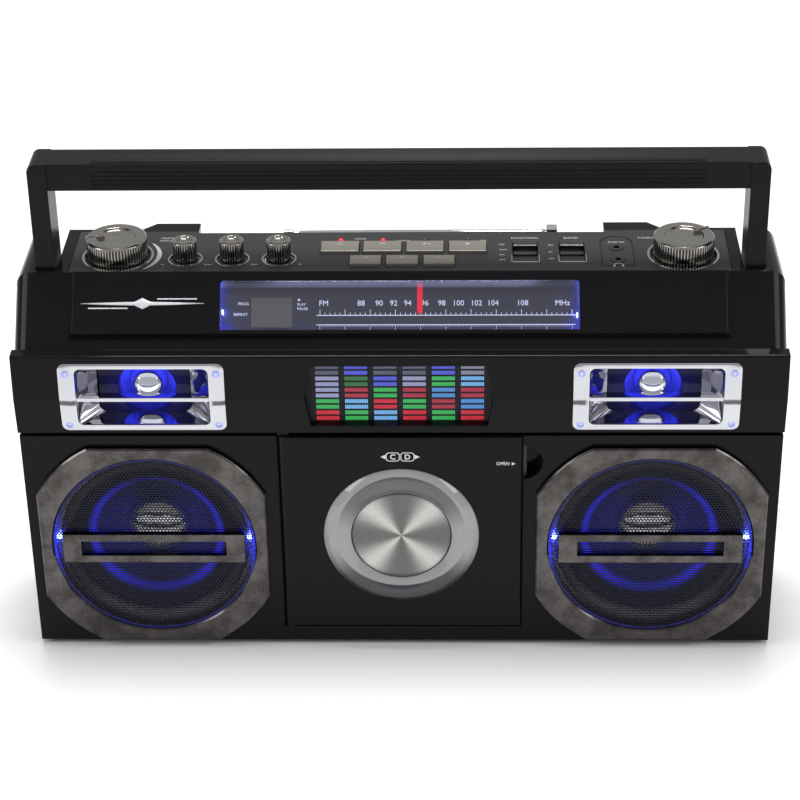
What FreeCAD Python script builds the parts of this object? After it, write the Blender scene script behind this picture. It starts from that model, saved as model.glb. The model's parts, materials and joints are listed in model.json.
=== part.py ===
import FreeCAD, Part
import os
import re
import Sketcher

# Portable stereo radio and disc player.  Millimetres, +Z up, X to the listener's right, +Y to the rear.
# Origin: centre of the footprint, on the surface the feet stand on.

doc = FreeCAD.newDocument("Boombox")
sheet = doc.addObject("Spreadsheet::Sheet", "Dims")

dims = {
    # cabinet, seen from the side
    "halfWidth": 212.5, "wall": 3, "footHeight": 3, "lowerFront": -43.5, "rearFace": 42.5, "bulgeFace": 50,
    "lowerTop": 142, "bandBack": -39.5, "bandBottom": 146, "bandLowFace": -46.9, "bandCrease": -49.2,
    "creaseZ": 168.5, "bandHighFace": -47.4, "ledgeZ": 194.7, "topZ": 228, "slopeLean": 40, "splitY": -8.5,
    "cheekRound": 10, "cavityHalf": 183, "cheekCavityTop": 192, "bulgeHalf": 140, "bulgeChamfer": 7.5,
    # handle and its channels
    "channelIn": 189.5, "channelOut": 201.5, "channelFloor": 203, "pivotY": 3, "pivotZ": 216.5, "armDeep": 22,
    "armIn": 190.2, "armOut": 200.8, "pinRad": 3, "fitGap": 0.05, "barLow": 275.2, "barHigh": 290.9,
    "gripHalf": 166.5, "gripSkin": 0.7, "gripTop": 291.6,
    # woofers
    "wooferX": 141.4, "wooferZ": 70, "bezelRad": 73.5, "bezelHalf": 65, "mouthRad": 57.9, "bezelProud": 3.2,
    "grilleBack": -44.4, "grilleThick": 0.8, "barHalf": 52, "barTall": 18.6, "barFront": -48.6,
    "slotHalf": 41.5, "slotTall": 9.6,
    # tweeter horns and level display
    "hornIn": 95.4, "hornOut": 187, "hornLow": 148, "hornHigh": 190.6, "plateProud": 0.8, "mouthIn": 104.5,
    "mouthOut": 177.5, "mouthLow": 152, "mouthHigh": 187, "throatIn": 114.5, "throatOut": 166.5,
    "throatLow": 153.5, "throatHigh": 183.5, "throatY": -36, "hornWall": 1.5, "vaneThick": 2.6,
    "bulbX": 140, "bulbRad": 9, "screwIn": 99.8, "screwOut": 182.7, "screwLow": 152.1, "screwHigh": 184.2,
    "eqHalf": 49, "eqBow": 3, "eqLow": 150.6, "eqHigh": 188.5, "eqCols": 6, "eqBars": 10,
    "levelLeft": 46, "levelStep": 16.02, "levelWide": 12.7, "levelLow": 152, "levelRise": 3.59, "levelTall": 2.3,
    # sloping dial
    "fasciaHalf": 181.7, "fasciaLow": 6, "fasciaHigh": 43.2, "fasciaProud": 3, "dialLeft": -98,
    "dialRight": 99, "dialLow": 10.3, "dialHigh": 37.9, "lcdLeft": -81, "lcdRight": -58.5, "lcdLow": 12.7,
    "lcdHigh": 29.2, "pointerX": 11.6, "pointerWide": 3, "pointerLow": 20.6,
    # top panel controls
    "panelThick": 3, "panelHalf": 182.7, "panelRear": 39.5, "notchHalf": 115, "notchFront": 37.5,
    "notchFloor": 214, "bigKnobX": 157.5, "bigKnobY": 9, "bigDish": 20, "bigKnob": 16.8, "knobTop": 240,
    "smallKnobY": 5, "smallDish": 9.7, "smallKnob": 6.75, "playGap": 0.3, "lipWide": 0.8, "buttonTop": 229.8,
    "rowRearLow": 10.5, "rowRearHigh": 23.5, "rowFrontLow": -5, "rowFrontHigh": 5.5, "ledY": 26.7,
    "ledRad": 1.5, "slotLow": -0.5, "slotHigh": 24.5, "slotWide": 14.3, "functionX": 69.95, "bandX": 95.95,
    "jackX": 121, "auxY": 17.4, "phonesY": 2.4, "jackBore": 1.8,
    # disc door, well and drive
    "doorHalf": 68.3, "doorLow": 13.5, "doorHigh": 141.7, "doorFront": -44.5, "doorThick": 4,
    "barrelRad": 3.4, "hingePin": 1.2, "discZ": 77, "ringOut": 44.2, "ringIn": 28.5, "notchRad": 10.8,
    "notchZ": 124.5, "trayHalf": 68.8, "trayBack": -22, "trayLow": 13.2, "trayHigh": 137.5,
    # battery bay
    "bayHalf": 90, "bayLow": 19, "bayHigh": 96, "bayDeep": 10,
    # telescopic antenna
    "mastX": 85.6, "mastY": 43.5, "mastZ": 224.5, "swivelZ": 221.5, "mastRad": 2.3, "mastEnd": -61, "tipRad": 1.5,
}

for row, (alias, amount) in enumerate(dims.items(), start=1):
    sheet.set("A%d" % row, alias)
    sheet.set("B%d" % row, str(amount))
    sheet.setAlias("B%d" % row, alias)
doc.recompute()

nodes = []
xAxis = FreeCAD.Vector(1, 0, 0)
yAxis = FreeCAD.Vector(0, 1, 0)
zAxis = FreeCAD.Vector(0, 0, 1)
turns = {
    "X": FreeCAD.Rotation(yAxis, 90),
    "Y": FreeCAD.Rotation(xAxis, -90),
    "Z": FreeCAD.Rotation(),
    "front": FreeCAD.Rotation(xAxis, 90),
}
slopeTurn = FreeCAD.Rotation(xAxis, 90 - dims["slopeLean"])
topFront = "(bandBack + (topZ - ledgeZ) * tan(slopeLean))"
panelBottom = "(topZ - panelThick)"


def cells(text):
    """Write an expression with every alias turned into a reference to the sheet."""
    return re.sub(r"[A-Za-z]\w*", lambda word: "Dims." + word[0] if word[0] in dims else word[0], str(text))


def bind(thing, prop, text):
    thing.setExpression(prop, cells(text))


def place(thing, x=0, y=0, z=0, turn=None):
    if turn is not None:
        thing.Placement = FreeCAD.Placement(FreeCAD.Vector(), turn)
    bind(thing, "Placement.Base.x", x)
    bind(thing, "Placement.Base.y", y)
    bind(thing, "Placement.Base.z", z)
    return thing


def box(name, x, y, z):
    solid = doc.addObject("Part::Box", name)
    bind(solid, "Length", "(%s) - (%s)" % (x[1], x[0]))
    bind(solid, "Width", "(%s) - (%s)" % (y[1], y[0]))
    bind(solid, "Height", "(%s) - (%s)" % (z[1], z[0]))
    return place(solid, x[0], y[0], z[0])


def cylinder(name, axis, radius, start, length):
    """A cylinder that runs from the point start along +X, +Y or +Z."""
    solid = doc.addObject("Part::Cylinder", name)
    bind(solid, "Radius", radius)
    bind(solid, "Height", length)
    return place(solid, start[0], start[1], start[2], turns[axis])


def sphere(name, radius, centre):
    solid = doc.addObject("Part::Sphere", name)
    bind(solid, "Radius", radius)
    return place(solid, centre[0], centre[1], centre[2])


def originPlane(body, role):
    return [feature for feature in body.Origin.OriginFeatures if feature.Role == role][0]


def polygon(body, name, plane, points, offset):
    """A closed sketch whose corners are bound to the sheet, lifted from an origin plane by offset."""
    sketch = body.newObject("Sketcher::SketchObject", name)
    sketch.AttachmentSupport = [(originPlane(body, plane), "")]
    sketch.MapMode = "FlatFace"
    bind(sketch, "AttachmentOffset.Base.z", offset)
    count = len(points)
    rough = [FreeCAD.Vector(corner, (corner * corner) % 7, 0) for corner in range(count)]
    for corner in range(count):
        sketch.addGeometry(Part.LineSegment(rough[corner], rough[(corner + 1) % count]), False)
    for corner in range(count):
        sketch.addConstraint(Sketcher.Constraint("Coincident", corner, 2, (corner + 1) % count, 1))
    for corner, point in enumerate(points):
        for kind, text in zip(("DistanceX", "DistanceY"), point):
            index = sketch.addConstraint(Sketcher.Constraint(kind, corner, 1, 1.0))
            bind(sketch, "Constraints[%d]" % index, text)
    return sketch


def prism(name, plane, points, start, stop):
    """A polygon padded from start to stop along the plane's world axis (XY: Z, XZ: Y, YZ: X)."""
    body = doc.addObject("PartDesign::Body", name)
    offset = "-(%s)" % stop if plane == "XZ_Plane" else start
    sketch = polygon(body, name + "Sketch", plane, points, offset)
    pad = body.newObject("PartDesign::Pad", name + "Pad")
    pad.Profile = sketch
    bind(pad, "Length", "(%s) - (%s)" % (stop, start))
    return body


def turned(name, points, x=0, y=0, z=0, axis="Z"):
    """Radius and height points revolved about an axis; axis front puts the heights along -Y."""
    body = doc.addObject("PartDesign::Body", name)
    sketch = polygon(body, name + "Sketch", "XZ_Plane", points, 0)
    revolution = body.newObject("PartDesign::Revolution", name + "Turn")
    revolution.Profile = sketch
    revolution.ReferenceAxis = (sketch, ["V_Axis"])
    revolution.Angle = 360
    return place(body, x, y, z, turns[axis])


def frustum(name, front, frontY, back, backY):
    """A four sided funnel between two rectangles (x low, x high, z low, z high) that face the front."""
    body = doc.addObject("PartDesign::Body", name)
    sketches = []
    for index, (rim, depth) in enumerate(((front, frontY), (back, backY))):
        corners = [(rim[0], rim[2]), (rim[1], rim[2]), (rim[1], rim[3]), (rim[0], rim[3])]
        sketches.append(polygon(body, "%sRim%d" % (name, index), "XZ_Plane", corners, "-(%s)" % depth))
    loft = body.newObject("PartDesign::AdditiveLoft", name + "Loft")
    loft.Profile = sketches[0]
    loft.Sections = [sketches[1]]
    loft.Ruled = True
    return body


def fuse(name, *solids):
    joined = doc.addObject("Part::MultiFuse", name)
    joined.Shapes = list(solids)
    return joined


def cut(name, base, *tools):
    result = doc.addObject("Part::Cut", name)
    result.Base = base
    result.Tool = tools[0] if len(tools) == 1 else fuse(name + "Tools", *tools)
    return result


def common(name, *solids):
    shared = doc.addObject("Part::MultiCommon", name)
    shared.Shapes = list(solids)
    return shared


def group(name, solids):
    bundle = doc.addObject("Part::Compound", name)
    bundle.Links = list(solids)
    return bundle


def rounded(name, base, amount, picker, kind="Part::Fillet"):
    """Fillet or chamfer the edges of base that picker accepts."""
    doc.recompute()
    chosen = [index for index, edge in enumerate(base.Shape.Edges, start=1) if picker(edge)]
    assert chosen, name + " has no edge to finish"
    softened = doc.addObject(kind, name)
    softened.Base = base
    softened.Edges = [(index, amount, amount) for index in chosen]
    return softened


def onSlope(thing, x=0):
    """Carry a piece drawn flat (x across, y up the slope, z outwards) onto the sloping front."""
    return place(thing, x, "bandBack", "ledgeZ", slopeTurn)


def keep(thing, nodeName):
    thing.Label = nodeName
    nodes.append(thing)


def near(first, second):
    return abs(first - second) < 0.01


def alongAxis(edge, axis):
    if edge.Curve.TypeId != "Part::GeomLine":
        return False
    return abs(abs(edge.Curve.Direction.dot(axis)) - 1) < 1e-6


def mirrorPair(name, build):
    """Call build for the left and the right side and return both solids."""
    return [build(name + "Left", -1), build(name + "Right", 1)]


def span(side, low, high):
    """The x limits of a stretch from low to high out from the middle, on one side."""
    return ("-(%s)" % high, "-(%s)" % low) if side < 0 else (low, high)


# ---- cabinet shells ----

def cheekRounding():
    """Two long blocks with rounded upper edges, one lying on the slope and one under the flat top."""
    def upperEnds(edge):
        return alongAxis(edge, yAxis) and near(edge.BoundBox.ZMin, edge.BoundBox.ZMax) and edge.BoundBox.ZMax > -1
    blocks = []
    for name, turn in (("slopeRoll", slopeTurn), ("topRoll", FreeCAD.Rotation())):
        block = doc.addObject("Part::Box", name + "Block")
        bind(block, "Length", "2 * halfWidth")
        bind(block, "Width", "800")
        bind(block, "Height", "400")
        place(block, "-halfWidth", -400, -400)
        soft = group(name, [rounded(name + "Soft", block, dims["cheekRound"], upperEnds)])
        if name == "slopeRoll":
            place(soft, 0, "bandBack", "ledgeZ", turn)
        else:
            place(soft, 0, 0, "topZ", turn)
        blocks.append(soft)
    return blocks


def frontCabinet():
    outline = [
        ("splitY", "footHeight"), ("lowerFront", "footHeight"), ("lowerFront", "lowerTop"),
        ("bandBack", "lowerTop"), ("bandBack", "ledgeZ"), (topFront, "topZ"), ("splitY", "topZ"),
    ]
    block = prism("frontBlock", "YZ_Plane", outline, "-halfWidth", "halfWidth")
    shape = common("frontRounded", block, *cheekRounding())
    middle = prism("frontCavity", "YZ_Plane", [
        ("splitY + 1", "footHeight + wall"), ("lowerFront + wall", "footHeight + wall"),
        ("lowerFront + wall", "lowerTop - wall"), ("bandBack + wall", "lowerTop - wall"),
        ("bandBack + wall", "ledgeZ - 1"), (topFront + " + 1.4", "topZ - panelThick"),
        ("splitY + 1", "topZ - panelThick"),
    ], "-cavityHalf", "cavityHalf")
    ends = prism("frontEndCavity", "YZ_Plane", [
        ("splitY + 1", "footHeight + wall"), ("lowerFront + wall", "footHeight + wall"),
        ("lowerFront + wall", "lowerTop - wall"), ("bandBack + wall", "lowerTop - wall"),
        ("bandBack + wall", "cheekCavityTop"), ("splitY + 1", "cheekCavityTop"),
    ], "-(halfWidth - wall)", "halfWidth - wall")
    tools = [middle, ends]
    tools += mirrorPair("wooferHole", lambda name, side: cylinder(
        name, "Y", "mouthRad + 2", ("%d * wooferX" % side, "lowerFront - 1", "wooferZ"), "wall + 2"))
    tools += mirrorPair("hornHole", lambda name, side: box(
        name, span(side, "mouthIn - 3", "mouthOut + 3"), ("bandBack - 1", "bandBack + wall + 1"),
        ("mouthLow - 2", "mouthHigh + 2")))
    tools.append(box("doorHole", ("-doorHalf - 0.7", "doorHalf + 0.7"), ("lowerFront - 1", "lowerFront + wall + 1"),
                     ("doorLow - 0.7", "lowerTop + 0.1")))
    tools.append(cylinder("fingerHole", "Y", "notchRad", ("doorHalf + 0.7", "lowerFront - 1", "notchZ"), "wall + 2"))
    tools.append(box("panelSeat", ("-cavityHalf", "cavityHalf"), (topFront, "splitY + 1"),
                     (panelBottom, "topZ + 1")))
    dialHole = box("dialHole", ("dialLeft", "dialRight"), ("dialLow", "dialHigh"), (-6, 1))
    tools.append(onSlope(dialHole, "dialLeft"))
    bind(dialHole, "Placement.Base.y", "bandBack + dialLow * sin(slopeLean) + 6 * cos(slopeLean)")
    bind(dialHole, "Placement.Base.z", "ledgeZ + dialLow * cos(slopeLean) - 6 * sin(slopeLean)")
    pinX = "(barrelRad - doorHalf)"
    pinY = "(doorFront + barrelRad)"
    tools.append(cylinder("barrelRoom", "Z", "barrelRad + 0.4", (pinX, pinY, "doorLow - 0.3"),
                          "lowerTop - doorLow + 0.5"))
    for side in (-1, 1):
        tools.append(cylinder("dishRoom%d" % (side + 1), "Z", "bigDish",
                              ("%d * bigKnobX" % side, "bigKnobY", panelBottom + " - 3"), 4))
    hollow = cut("frontHollow", shape, *tools)
    lug = box("hingeLug", ("-doorHalf", pinX + " + 3"), ("lowerFront + 0.2", "bandBack"), ("lowerTop + 0.2", "bandBottom"))
    boss = box("hingeBoss", ("-doorHalf - 0.7", pinX + " + 3"), ("lowerFront + wall", pinY + " + 2.6"),
               ("footHeight + wall", "trayLow - 2.8"))
    cupDepth = ("lowerFront", "lowerFront + 10.5")
    cupBlock = cylinder("cupBlock", "Y", "notchRad + 1.5", ("doorHalf + 0.7", "lowerFront + 1", "notchZ"), 9.5)
    cupSide = box("cupSide", ("trayHalf + 2.1", "doorHalf + 20"), cupDepth, ("notchZ - 14", "notchZ + 14"))
    cupRoom = cylinder("cupRoom", "Y", "notchRad", ("doorHalf + 0.7", "lowerFront - 1", "notchZ"), 10)
    cup = cut("fingerCup", common("cupHalf", cupBlock, cupSide), cupRoom)
    solid = fuse("frontWithLugs", hollow, lug, boss, cup)
    bore = cylinder("hingeBore", "Z", "hingePin", (pinX, pinY, 7), 140)
    keep(cut("frontCabinet", solid, bore), "front_cabinet")


def rearCabinet():
    block = box("rearBlock", ("-halfWidth", "halfWidth"), ("splitY", "rearFace"), ("footHeight", "topZ"))
    shape = rounded("rearRounded", block, dims["cheekRound"], lambda edge: (
        alongAxis(edge, yAxis) and near(edge.CenterOfMass.z, dims["topZ"])))
    bulge = prism("rearBulge", "XY_Plane", [
        ("-(bulgeHalf + bulgeChamfer)", "rearFace"), ("bulgeHalf + bulgeChamfer", "rearFace"),
        ("bulgeHalf", "bulgeFace"), ("-bulgeHalf", "bulgeFace"),
    ], "footHeight", "topZ")
    outer = fuse("rearOuter", shape, bulge)
    room = box("rearRoom", ("-cavityHalf", "cavityHalf"), ("splitY - 1", "rearFace - wall"),
               ("footHeight + wall", "topZ + 1"))
    ends = box("rearEndRoom", ("-(halfWidth - wall)", "halfWidth - wall"), ("splitY - 1", "rearFace - wall"),
               ("footHeight + wall", "channelFloor - wall"))
    bulgeRoom = box("bulgeRoom", ("-(bulgeHalf - wall)", "bulgeHalf - wall"), (0, "bulgeFace - wall"),
                    ("footHeight + wall", "notchFloor - wall"))
    notchBlock = box("notchBlock", ("-(notchHalf + wall)", "notchHalf + wall"), ("notchFront - wall", "bulgeFace"),
                     ("notchFloor - wall", panelBottom))
    air = cut("rearAir", fuse("rearAirBlocks", room, ends, bulgeRoom), notchBlock)
    notch = box("antennaNotch", ("-notchHalf", "notchHalf"), ("notchFront", "bulgeFace + 1"),
                ("notchFloor", "topZ + 1"))
    channels = mirrorPair("handleChannel", lambda name, side: box(
        name, span(side, "channelIn", "channelOut"), ("splitY - 1", "bulgeFace + 1"),
        ("channelFloor", "topZ + 1")))
    pins = mirrorPair("pivotSeat", lambda name, side: cylinder(
        name, "X", "pinRad", ("%d * (channelIn + channelOut) / 2 - 8" % side, "pivotY", "pivotZ"), 16))
    shell = cut("rearShell", outer, air, notch, *channels, *pins)
    bayOuter = box("bayOuter", ("-(bayHalf + 2)", "bayHalf + 2"), ("bayDeep - 2", "bulgeFace - wall"),
                   ("bayLow - 2", "bayHigh + 2"))
    bayInner = box("bayInner", ("-bayHalf", "bayHalf"), ("bayDeep", "bulgeFace + 1"), ("bayLow", "bayHigh"))
    trunnions = cylinder("trunnionSeat", "X", 1.06, ("-(bayHalf + 1.8)", "bulgeFace - 1.6", "bayLow + 2"),
                         "2 * bayHalf + 3.6")
    inletHole = box("inletHole", (164.9, 185.1), ("rearFace - wall - 1", "rearFace + 1"), (39.9, 58.1))
    mastHole = cylinder("mastHole", "Y", 2.55, ("mastX", "notchFront - wall - 1", "swivelZ"), "wall + 2")
    screwHoles = [cylinder("rearScrewHole%d" % index, "Y", 1.6, (x, "rearFace - wall - 1", z), "wall + 2")
                  for index, (x, z) in enumerate(rearScrewPlaces)]
    solid = cut("rearCabinet", fuse("rearWithBay", shell, bayOuter), bayInner, trunnions, inletHole,
                mastHole, *screwHoles)
    keep(solid, "rear_cabinet")


rearScrewPlaces = [(-170, 16), (170, 16), (-170, 206), (170, 206), (-205, 112), (205, 112)]


def rearScrews():
    screws = []
    for index, (x, z) in enumerate(rearScrewPlaces):
        screws.append(turned("rearScrew%d" % index, [
            (0, "-rearFace - 1.8"), (2.4, "-rearFace - 1.8"), (3.2, "-rearFace - 1.0"), (3.2, "-rearFace"),
            (1.5, "-rearFace"), (1.5, "-rearFace + 12"), (0, "-rearFace + 13"),
        ], x, 0, z, "front"))
    keep(group("rearScrews", screws), "rear_screws")


def feet():
    pads = []
    for index, (x, y) in enumerate(((-180, -30), (180, -30), (-180, 30), (180, 30))):
        pads.append(turned("foot%d" % index, [(0, 0), (6.2, 0), (7, "footHeight"), (0, "footHeight")], x, y))
    keep(group("feet", pads), "feet")


# ---- tweeter band ----

def bandFace(z):
    """Depth of the band's face at a height, from its straight lower and upper runs."""
    low = "(bandLowFace + (bandCrease - bandLowFace) * ((%s) - bandBottom) / (creaseZ - bandBottom))" % z
    high = "(bandCrease + (bandHighFace - bandCrease) * ((%s) - creaseZ) / (ledgeZ - creaseZ))" % z
    return low, high


def eqOutline():
    middle = "(eqLow + eqHigh) / 2"
    return [("-eqHalf", "eqLow"), ("eqHalf", "eqLow"), ("eqHalf + eqBow", middle), ("eqHalf", "eqHigh"),
            ("-eqHalf", "eqHigh"), ("-(eqHalf + eqBow)", middle)]


def tweeterBand():
    block = prism("bandBlock", "YZ_Plane", [
        ("bandBack", "bandBottom"), ("bandLowFace", "bandBottom"), ("bandCrease", "creaseZ"),
        ("bandHighFace", "ledgeZ"), ("bandBack", "ledgeZ"),
    ], "-halfWidth", "halfWidth")
    soft = rounded("bandRounded", block, 1.4, lambda edge: (
        alongAxis(edge, xAxis) and near(edge.CenterOfMass.z, dims["ledgeZ"]) and edge.CenterOfMass.y < -45))
    tools = mirrorPair("bandHornHole", lambda name, side: box(
        name, span(side, "mouthIn - 2.5", "mouthOut + 2.5"), ("bandCrease - 1", "bandBack + 1"),
        ("mouthLow - 2", "mouthHigh + 2")))
    tools.append(prism("bandEqHole", "XZ_Plane", eqOutline(), "bandCrease - 1", "bandBack + 1"))
    for index, (x, z) in enumerate(hornScrewPlaces()):
        tools.append(cylinder("bandScrewHole%d" % index, "Y", 1.3, (x, "bandCrease - 1", z), 9))
        tools.append(cylinder("bandHeadSeat%d" % index, "Y", 2.3, (x, "bandCrease - 1", z), 3.7))
    keep(cut("tweeterBand", soft, *tools), "tweeter_band")


def hornScrewPlaces():
    places = []
    for side in (-1, 1):
        for x in ("screwIn", "screwOut"):
            for z in ("screwLow", "screwHigh"):
                places.append(("%d * %s" % (side, x), z))
    return places


def hornScrews():
    screws = []
    for index, (x, z) in enumerate(hornScrewPlaces()):
        head = "(plateProud - %s)" % bandFace(z)[0 if z == "screwLow" else 1]
        screws.append(turned("hornScrew%d" % index, [
            (0, head + " - 0.1"), (1.9, head + " - 0.1"), (2.2, head + " - 0.4"), (2.2, head + " - 1.2"),
            (1.25, head + " - 1.6"), (1.25, head + " - 5"), (0, head + " - 5.6"),
        ], x, 0, z, "front"))
    keep(group("hornScrews", screws), "horn_screws")


def tweeterHorn(side):
    """Plated horn: a flange that follows the band's crease, a flared mouth and a vane across it."""
    word = "left" if side < 0 else "right"
    lowFace = bandFace("hornLow")[0]
    highFace = bandFace("hornHigh")[1]
    x0, x1 = span(side, "hornIn", "hornOut")
    flange = prism(word + "Flange", "YZ_Plane", [
        (lowFace, "hornLow"), (lowFace + " - plateProud", "hornLow"), ("bandCrease - plateProud", "creaseZ"),
        (highFace + " - plateProud", "hornHigh"), (highFace, "hornHigh"), ("bandCrease", "creaseZ"),
    ], x0, x1)
    corners = rounded(word + "FlangeRound", flange, 3.5, lambda edge: (
        abs(edge.Curve.Direction.y) > 0.9 if edge.Curve.TypeId == "Part::GeomLine" else False))
    mouth = [*span(side, "mouthIn", "mouthOut"), "mouthLow", "mouthHigh"]
    throat = [*span(side, "throatIn", "throatOut"), "throatLow", "throatHigh"]
    grow = "hornWall"
    outerMouth = [mouth[0] + " - " + grow, mouth[1] + " + " + grow, mouth[2] + " - " + grow, mouth[3] + " + " + grow]
    outerThroat = [throat[0] + " - " + grow, throat[1] + " + " + grow,
                   throat[2] + " - " + grow, throat[3] + " + " + grow]
    faceY = "bandHighFace"
    funnel = frustum(word + "Funnel", outerMouth, faceY, outerThroat, "throatY")
    behindPlate = prism(word + "BehindPlate", "YZ_Plane", [
        ("bandBack", "hornLow"), (lowFace + " - plateProud", "hornLow"), ("bandCrease - plateProud", "creaseZ"),
        (highFace + " - plateProud", "hornHigh"), ("bandBack", "hornHigh"),
    ], x0, x1)
    collar = box(word + "Collar", (outerMouth[0], outerMouth[1]), ("bandCrease - 1", "bandHighFace"),
                 (outerMouth[2], outerMouth[3]))
    body = fuse(word + "HornBody", corners, funnel, common(word + "CollarFit", collar, behindPlate))
    flare = frustum(word + "Flare", mouth, "bandHighFace", throat, "throatY")
    front = box(word + "MouthCut", (mouth[0], mouth[1]), ("bandCrease - 2", "bandHighFace"),
                (mouth[2], mouth[3]))
    tail = box(word + "ThroatCut", (throat[0], throat[1]), ("throatY - 0.01", "throatY + 1"),
               (throat[2], throat[3]))
    heads = [cylinder("%sHeadSeat%d" % (word, index), "Y", 2.3, (x, "bandCrease - 2", z), 5)
             for index, (x, z) in enumerate(hornScrewPlaces()) if (index < 4) == (side < 0)]
    open_ = cut(word + "HornOpen", body, flare, front, tail, *heads)
    vaneZ = "(mouthLow + mouthHigh) / 2 - 1.5"
    vane = frustum(word + "Vane", [mouth[0] + " - 0.7", mouth[1] + " + 0.7", vaneZ + " - vaneThick / 2",
                                   vaneZ + " + vaneThick / 2"], "bandCrease + 0.4",
                   [throat[0] + " - 5.3", throat[1] + " + 5.3", vaneZ + " - 0.5", vaneZ + " + 0.5"],
                   "bandCrease + 8")
    keep(fuse(word + "Horn", open_, vane), word + "_tweeter_horn")


def tweeterDrivers():
    """Compression drivers that close the throats: a dish with a rounded lamp dome on its axis."""
    def driver(name, side):
        x = "%d * bulbX" % side
        housing = box(name + "Block", span(side, "throatIn - hornWall", "throatOut + hornWall"),
                      ("throatY", "throatY + 20"), ("throatLow - hornWall", "throatHigh + hornWall"))
        dish = cylinder(name + "Dish", "Y", 14, (x, "throatY - 1", "(throatLow + throatHigh) / 2"), 15)
        dome = sphere(name + "Dome", "bulbRad", (x, "throatY + 8", "(throatLow + throatHigh) / 2"))
        stem = cylinder(name + "Stem", "Y", 6, (x, "throatY + 8", "(throatLow + throatHigh) / 2"), 8)
        return fuse(name, cut(name + "Hollow", housing, dish), dome, stem)
    keep(group("tweeterDrivers", mirrorPair("driver", driver)), "tweeter_drivers")


def levelDisplay():
    """Six columns of ten lit bars on a board, behind a smoked window, with dark ends that bow out."""
    keep(prism("eqBoard", "XZ_Plane", eqOutline(), "bandBack - 2", "bandBack"), "eq_board")
    keep(prism("eqWindow", "XZ_Plane", eqOutline(), "bandBack - 6", "bandBack - 4"), "eq_window")
    bars = []
    for column in range(dims["eqCols"]):
        for level in range(dims["eqBars"]):
            x = "(%d * levelStep - levelLeft)" % column
            z = "(levelLow + %d * levelRise)" % level
            bars.append(box("bar%d_%d" % (column, level), (x, x + " + levelWide"),
                            ("bandBack - 3.2", "bandBack - 2"), (z, z + " + levelTall")))
    keep(group("eqBars", bars), "eq_bars")


# ---- woofers ----

def wooferBezels():
    def bezel(name, side):
        x = "%d * wooferX" % side
        face = "lowerFront - bezelProud"
        disc = cylinder(name + "Disc", "Y", "bezelRad", (x, face, "wooferZ"), "bezelProud")
        square = box(name + "Square", (x + " - bezelHalf", x + " + bezelHalf"), (face, "lowerFront"),
                     ("wooferZ - bezelHalf", "wooferZ + bezelHalf"))
        mouth = cylinder(name + "Mouth", "Y", "mouthRad", (x, "lowerFront - 9", "wooferZ"), 12)
        ring = cut(name + "Ring", common(name + "Clip", disc, square), mouth)
        front = dims["lowerFront"] - dims["bezelProud"]
        return rounded(name, ring, 0.9, lambda edge: (
            near(edge.BoundBox.YMin, front) and near(edge.BoundBox.YMax, front)), "Part::Chamfer")
    keep(group("wooferBezels", mirrorPair("bezel", bezel)), "woofer_bezels")


def wooferGrilles():
    discs = mirrorPair("grille", lambda name, side: cylinder(
        name, "Y", "mouthRad - 0.1", ("%d * wooferX" % side, "grilleBack - grilleThick", "wooferZ"), "grilleThick"))
    keep(group("wooferGrilles", discs), "woofer_grilles")


def grilleBars():
    def bar(name, side):
        x = "%d * wooferX" % side
        depth = ("barFront", "grilleBack - grilleThick")
        block = box(name + "Block", (x + " - barHalf", x + " + barHalf"), depth,
                    ("wooferZ - barTall / 2", "wooferZ + barTall / 2"))
        slot = box(name + "Slot", (x + " - slotHalf", x + " + slotHalf"), ("barFront - 1", "grilleBack + 1"),
                   ("wooferZ - slotTall / 2", "wooferZ + slotTall / 2"))
        return cut(name, block, slot)
    keep(group("grilleBars", mirrorPair("grilleBar", bar)), "grille_bars")


def wooferDrivers():
    """Pressed basket and ring magnet of each woofer; heights run forwards from the middle of the cabinet."""
    solids = []
    for side in (-1, 1):
        x = "%d * wooferX" % side
        name = "wooferLeft" if side < 0 else "wooferRight"
        solids.append(turned(name + "Basket", [
            (49.5, 40.5), (63.5, 40.5), (63.5, 37.5), (53, 37.5), (33.5, 12), (15, 12), (15, 14), (31, 14),
            (49.5, 38),
        ], x, 0, "wooferZ", "front"))
        solids.append(turned(name + "Magnet", [
            (0, -8), (30, -8), (30, 12), (13.2, 12), (13.2, -2), (11.2, -2), (11.2, 12), (0, 12),
        ], x, 0, "wooferZ", "front"))
    keep(group("wooferDrivers", solids), "woofer_drivers")


def wooferCone(side):
    word = "left" if side < 0 else "right"
    cone = turned(word + "Cone", [
        (46.5, 38.5), (17, 19.7), (16.5, 25), (8, 28), (0, 28.8), (0, 27.3), (7.7, 26.6), (15, 24),
        (11.7, 17), (11.7, 3), (12.7, 3), (12.7, 15.6), (46.5, 37),
    ], "%d * wooferX" % side, 0, "wooferZ", "front")
    keep(cone, word + "_woofer_cone")


# ---- sloping dial ----

def dialFascia():
    plate = box("fasciaPlate", ("-fasciaHalf", "fasciaHalf"), ("fasciaLow", "fasciaHigh"), (0, "fasciaProud"))
    top = dims["fasciaProud"]

    def bevelled(edge):
        edgeBox = edge.BoundBox
        upper = near(edgeBox.ZMin, top) and near(edgeBox.ZMax, top)
        return upper and not near(edgeBox.YMin, dims["fasciaHigh"])
    bevel = rounded("fasciaBevel", plate, 2.6, bevelled, "Part::Chamfer")
    window = box("fasciaWindow", ("dialLeft", "dialRight"), ("dialLow", "dialHigh"), (-1, "fasciaProud + 1"))
    keep(onSlope(cut("dialFascia", bevel, window)), "dial_fascia")


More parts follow.
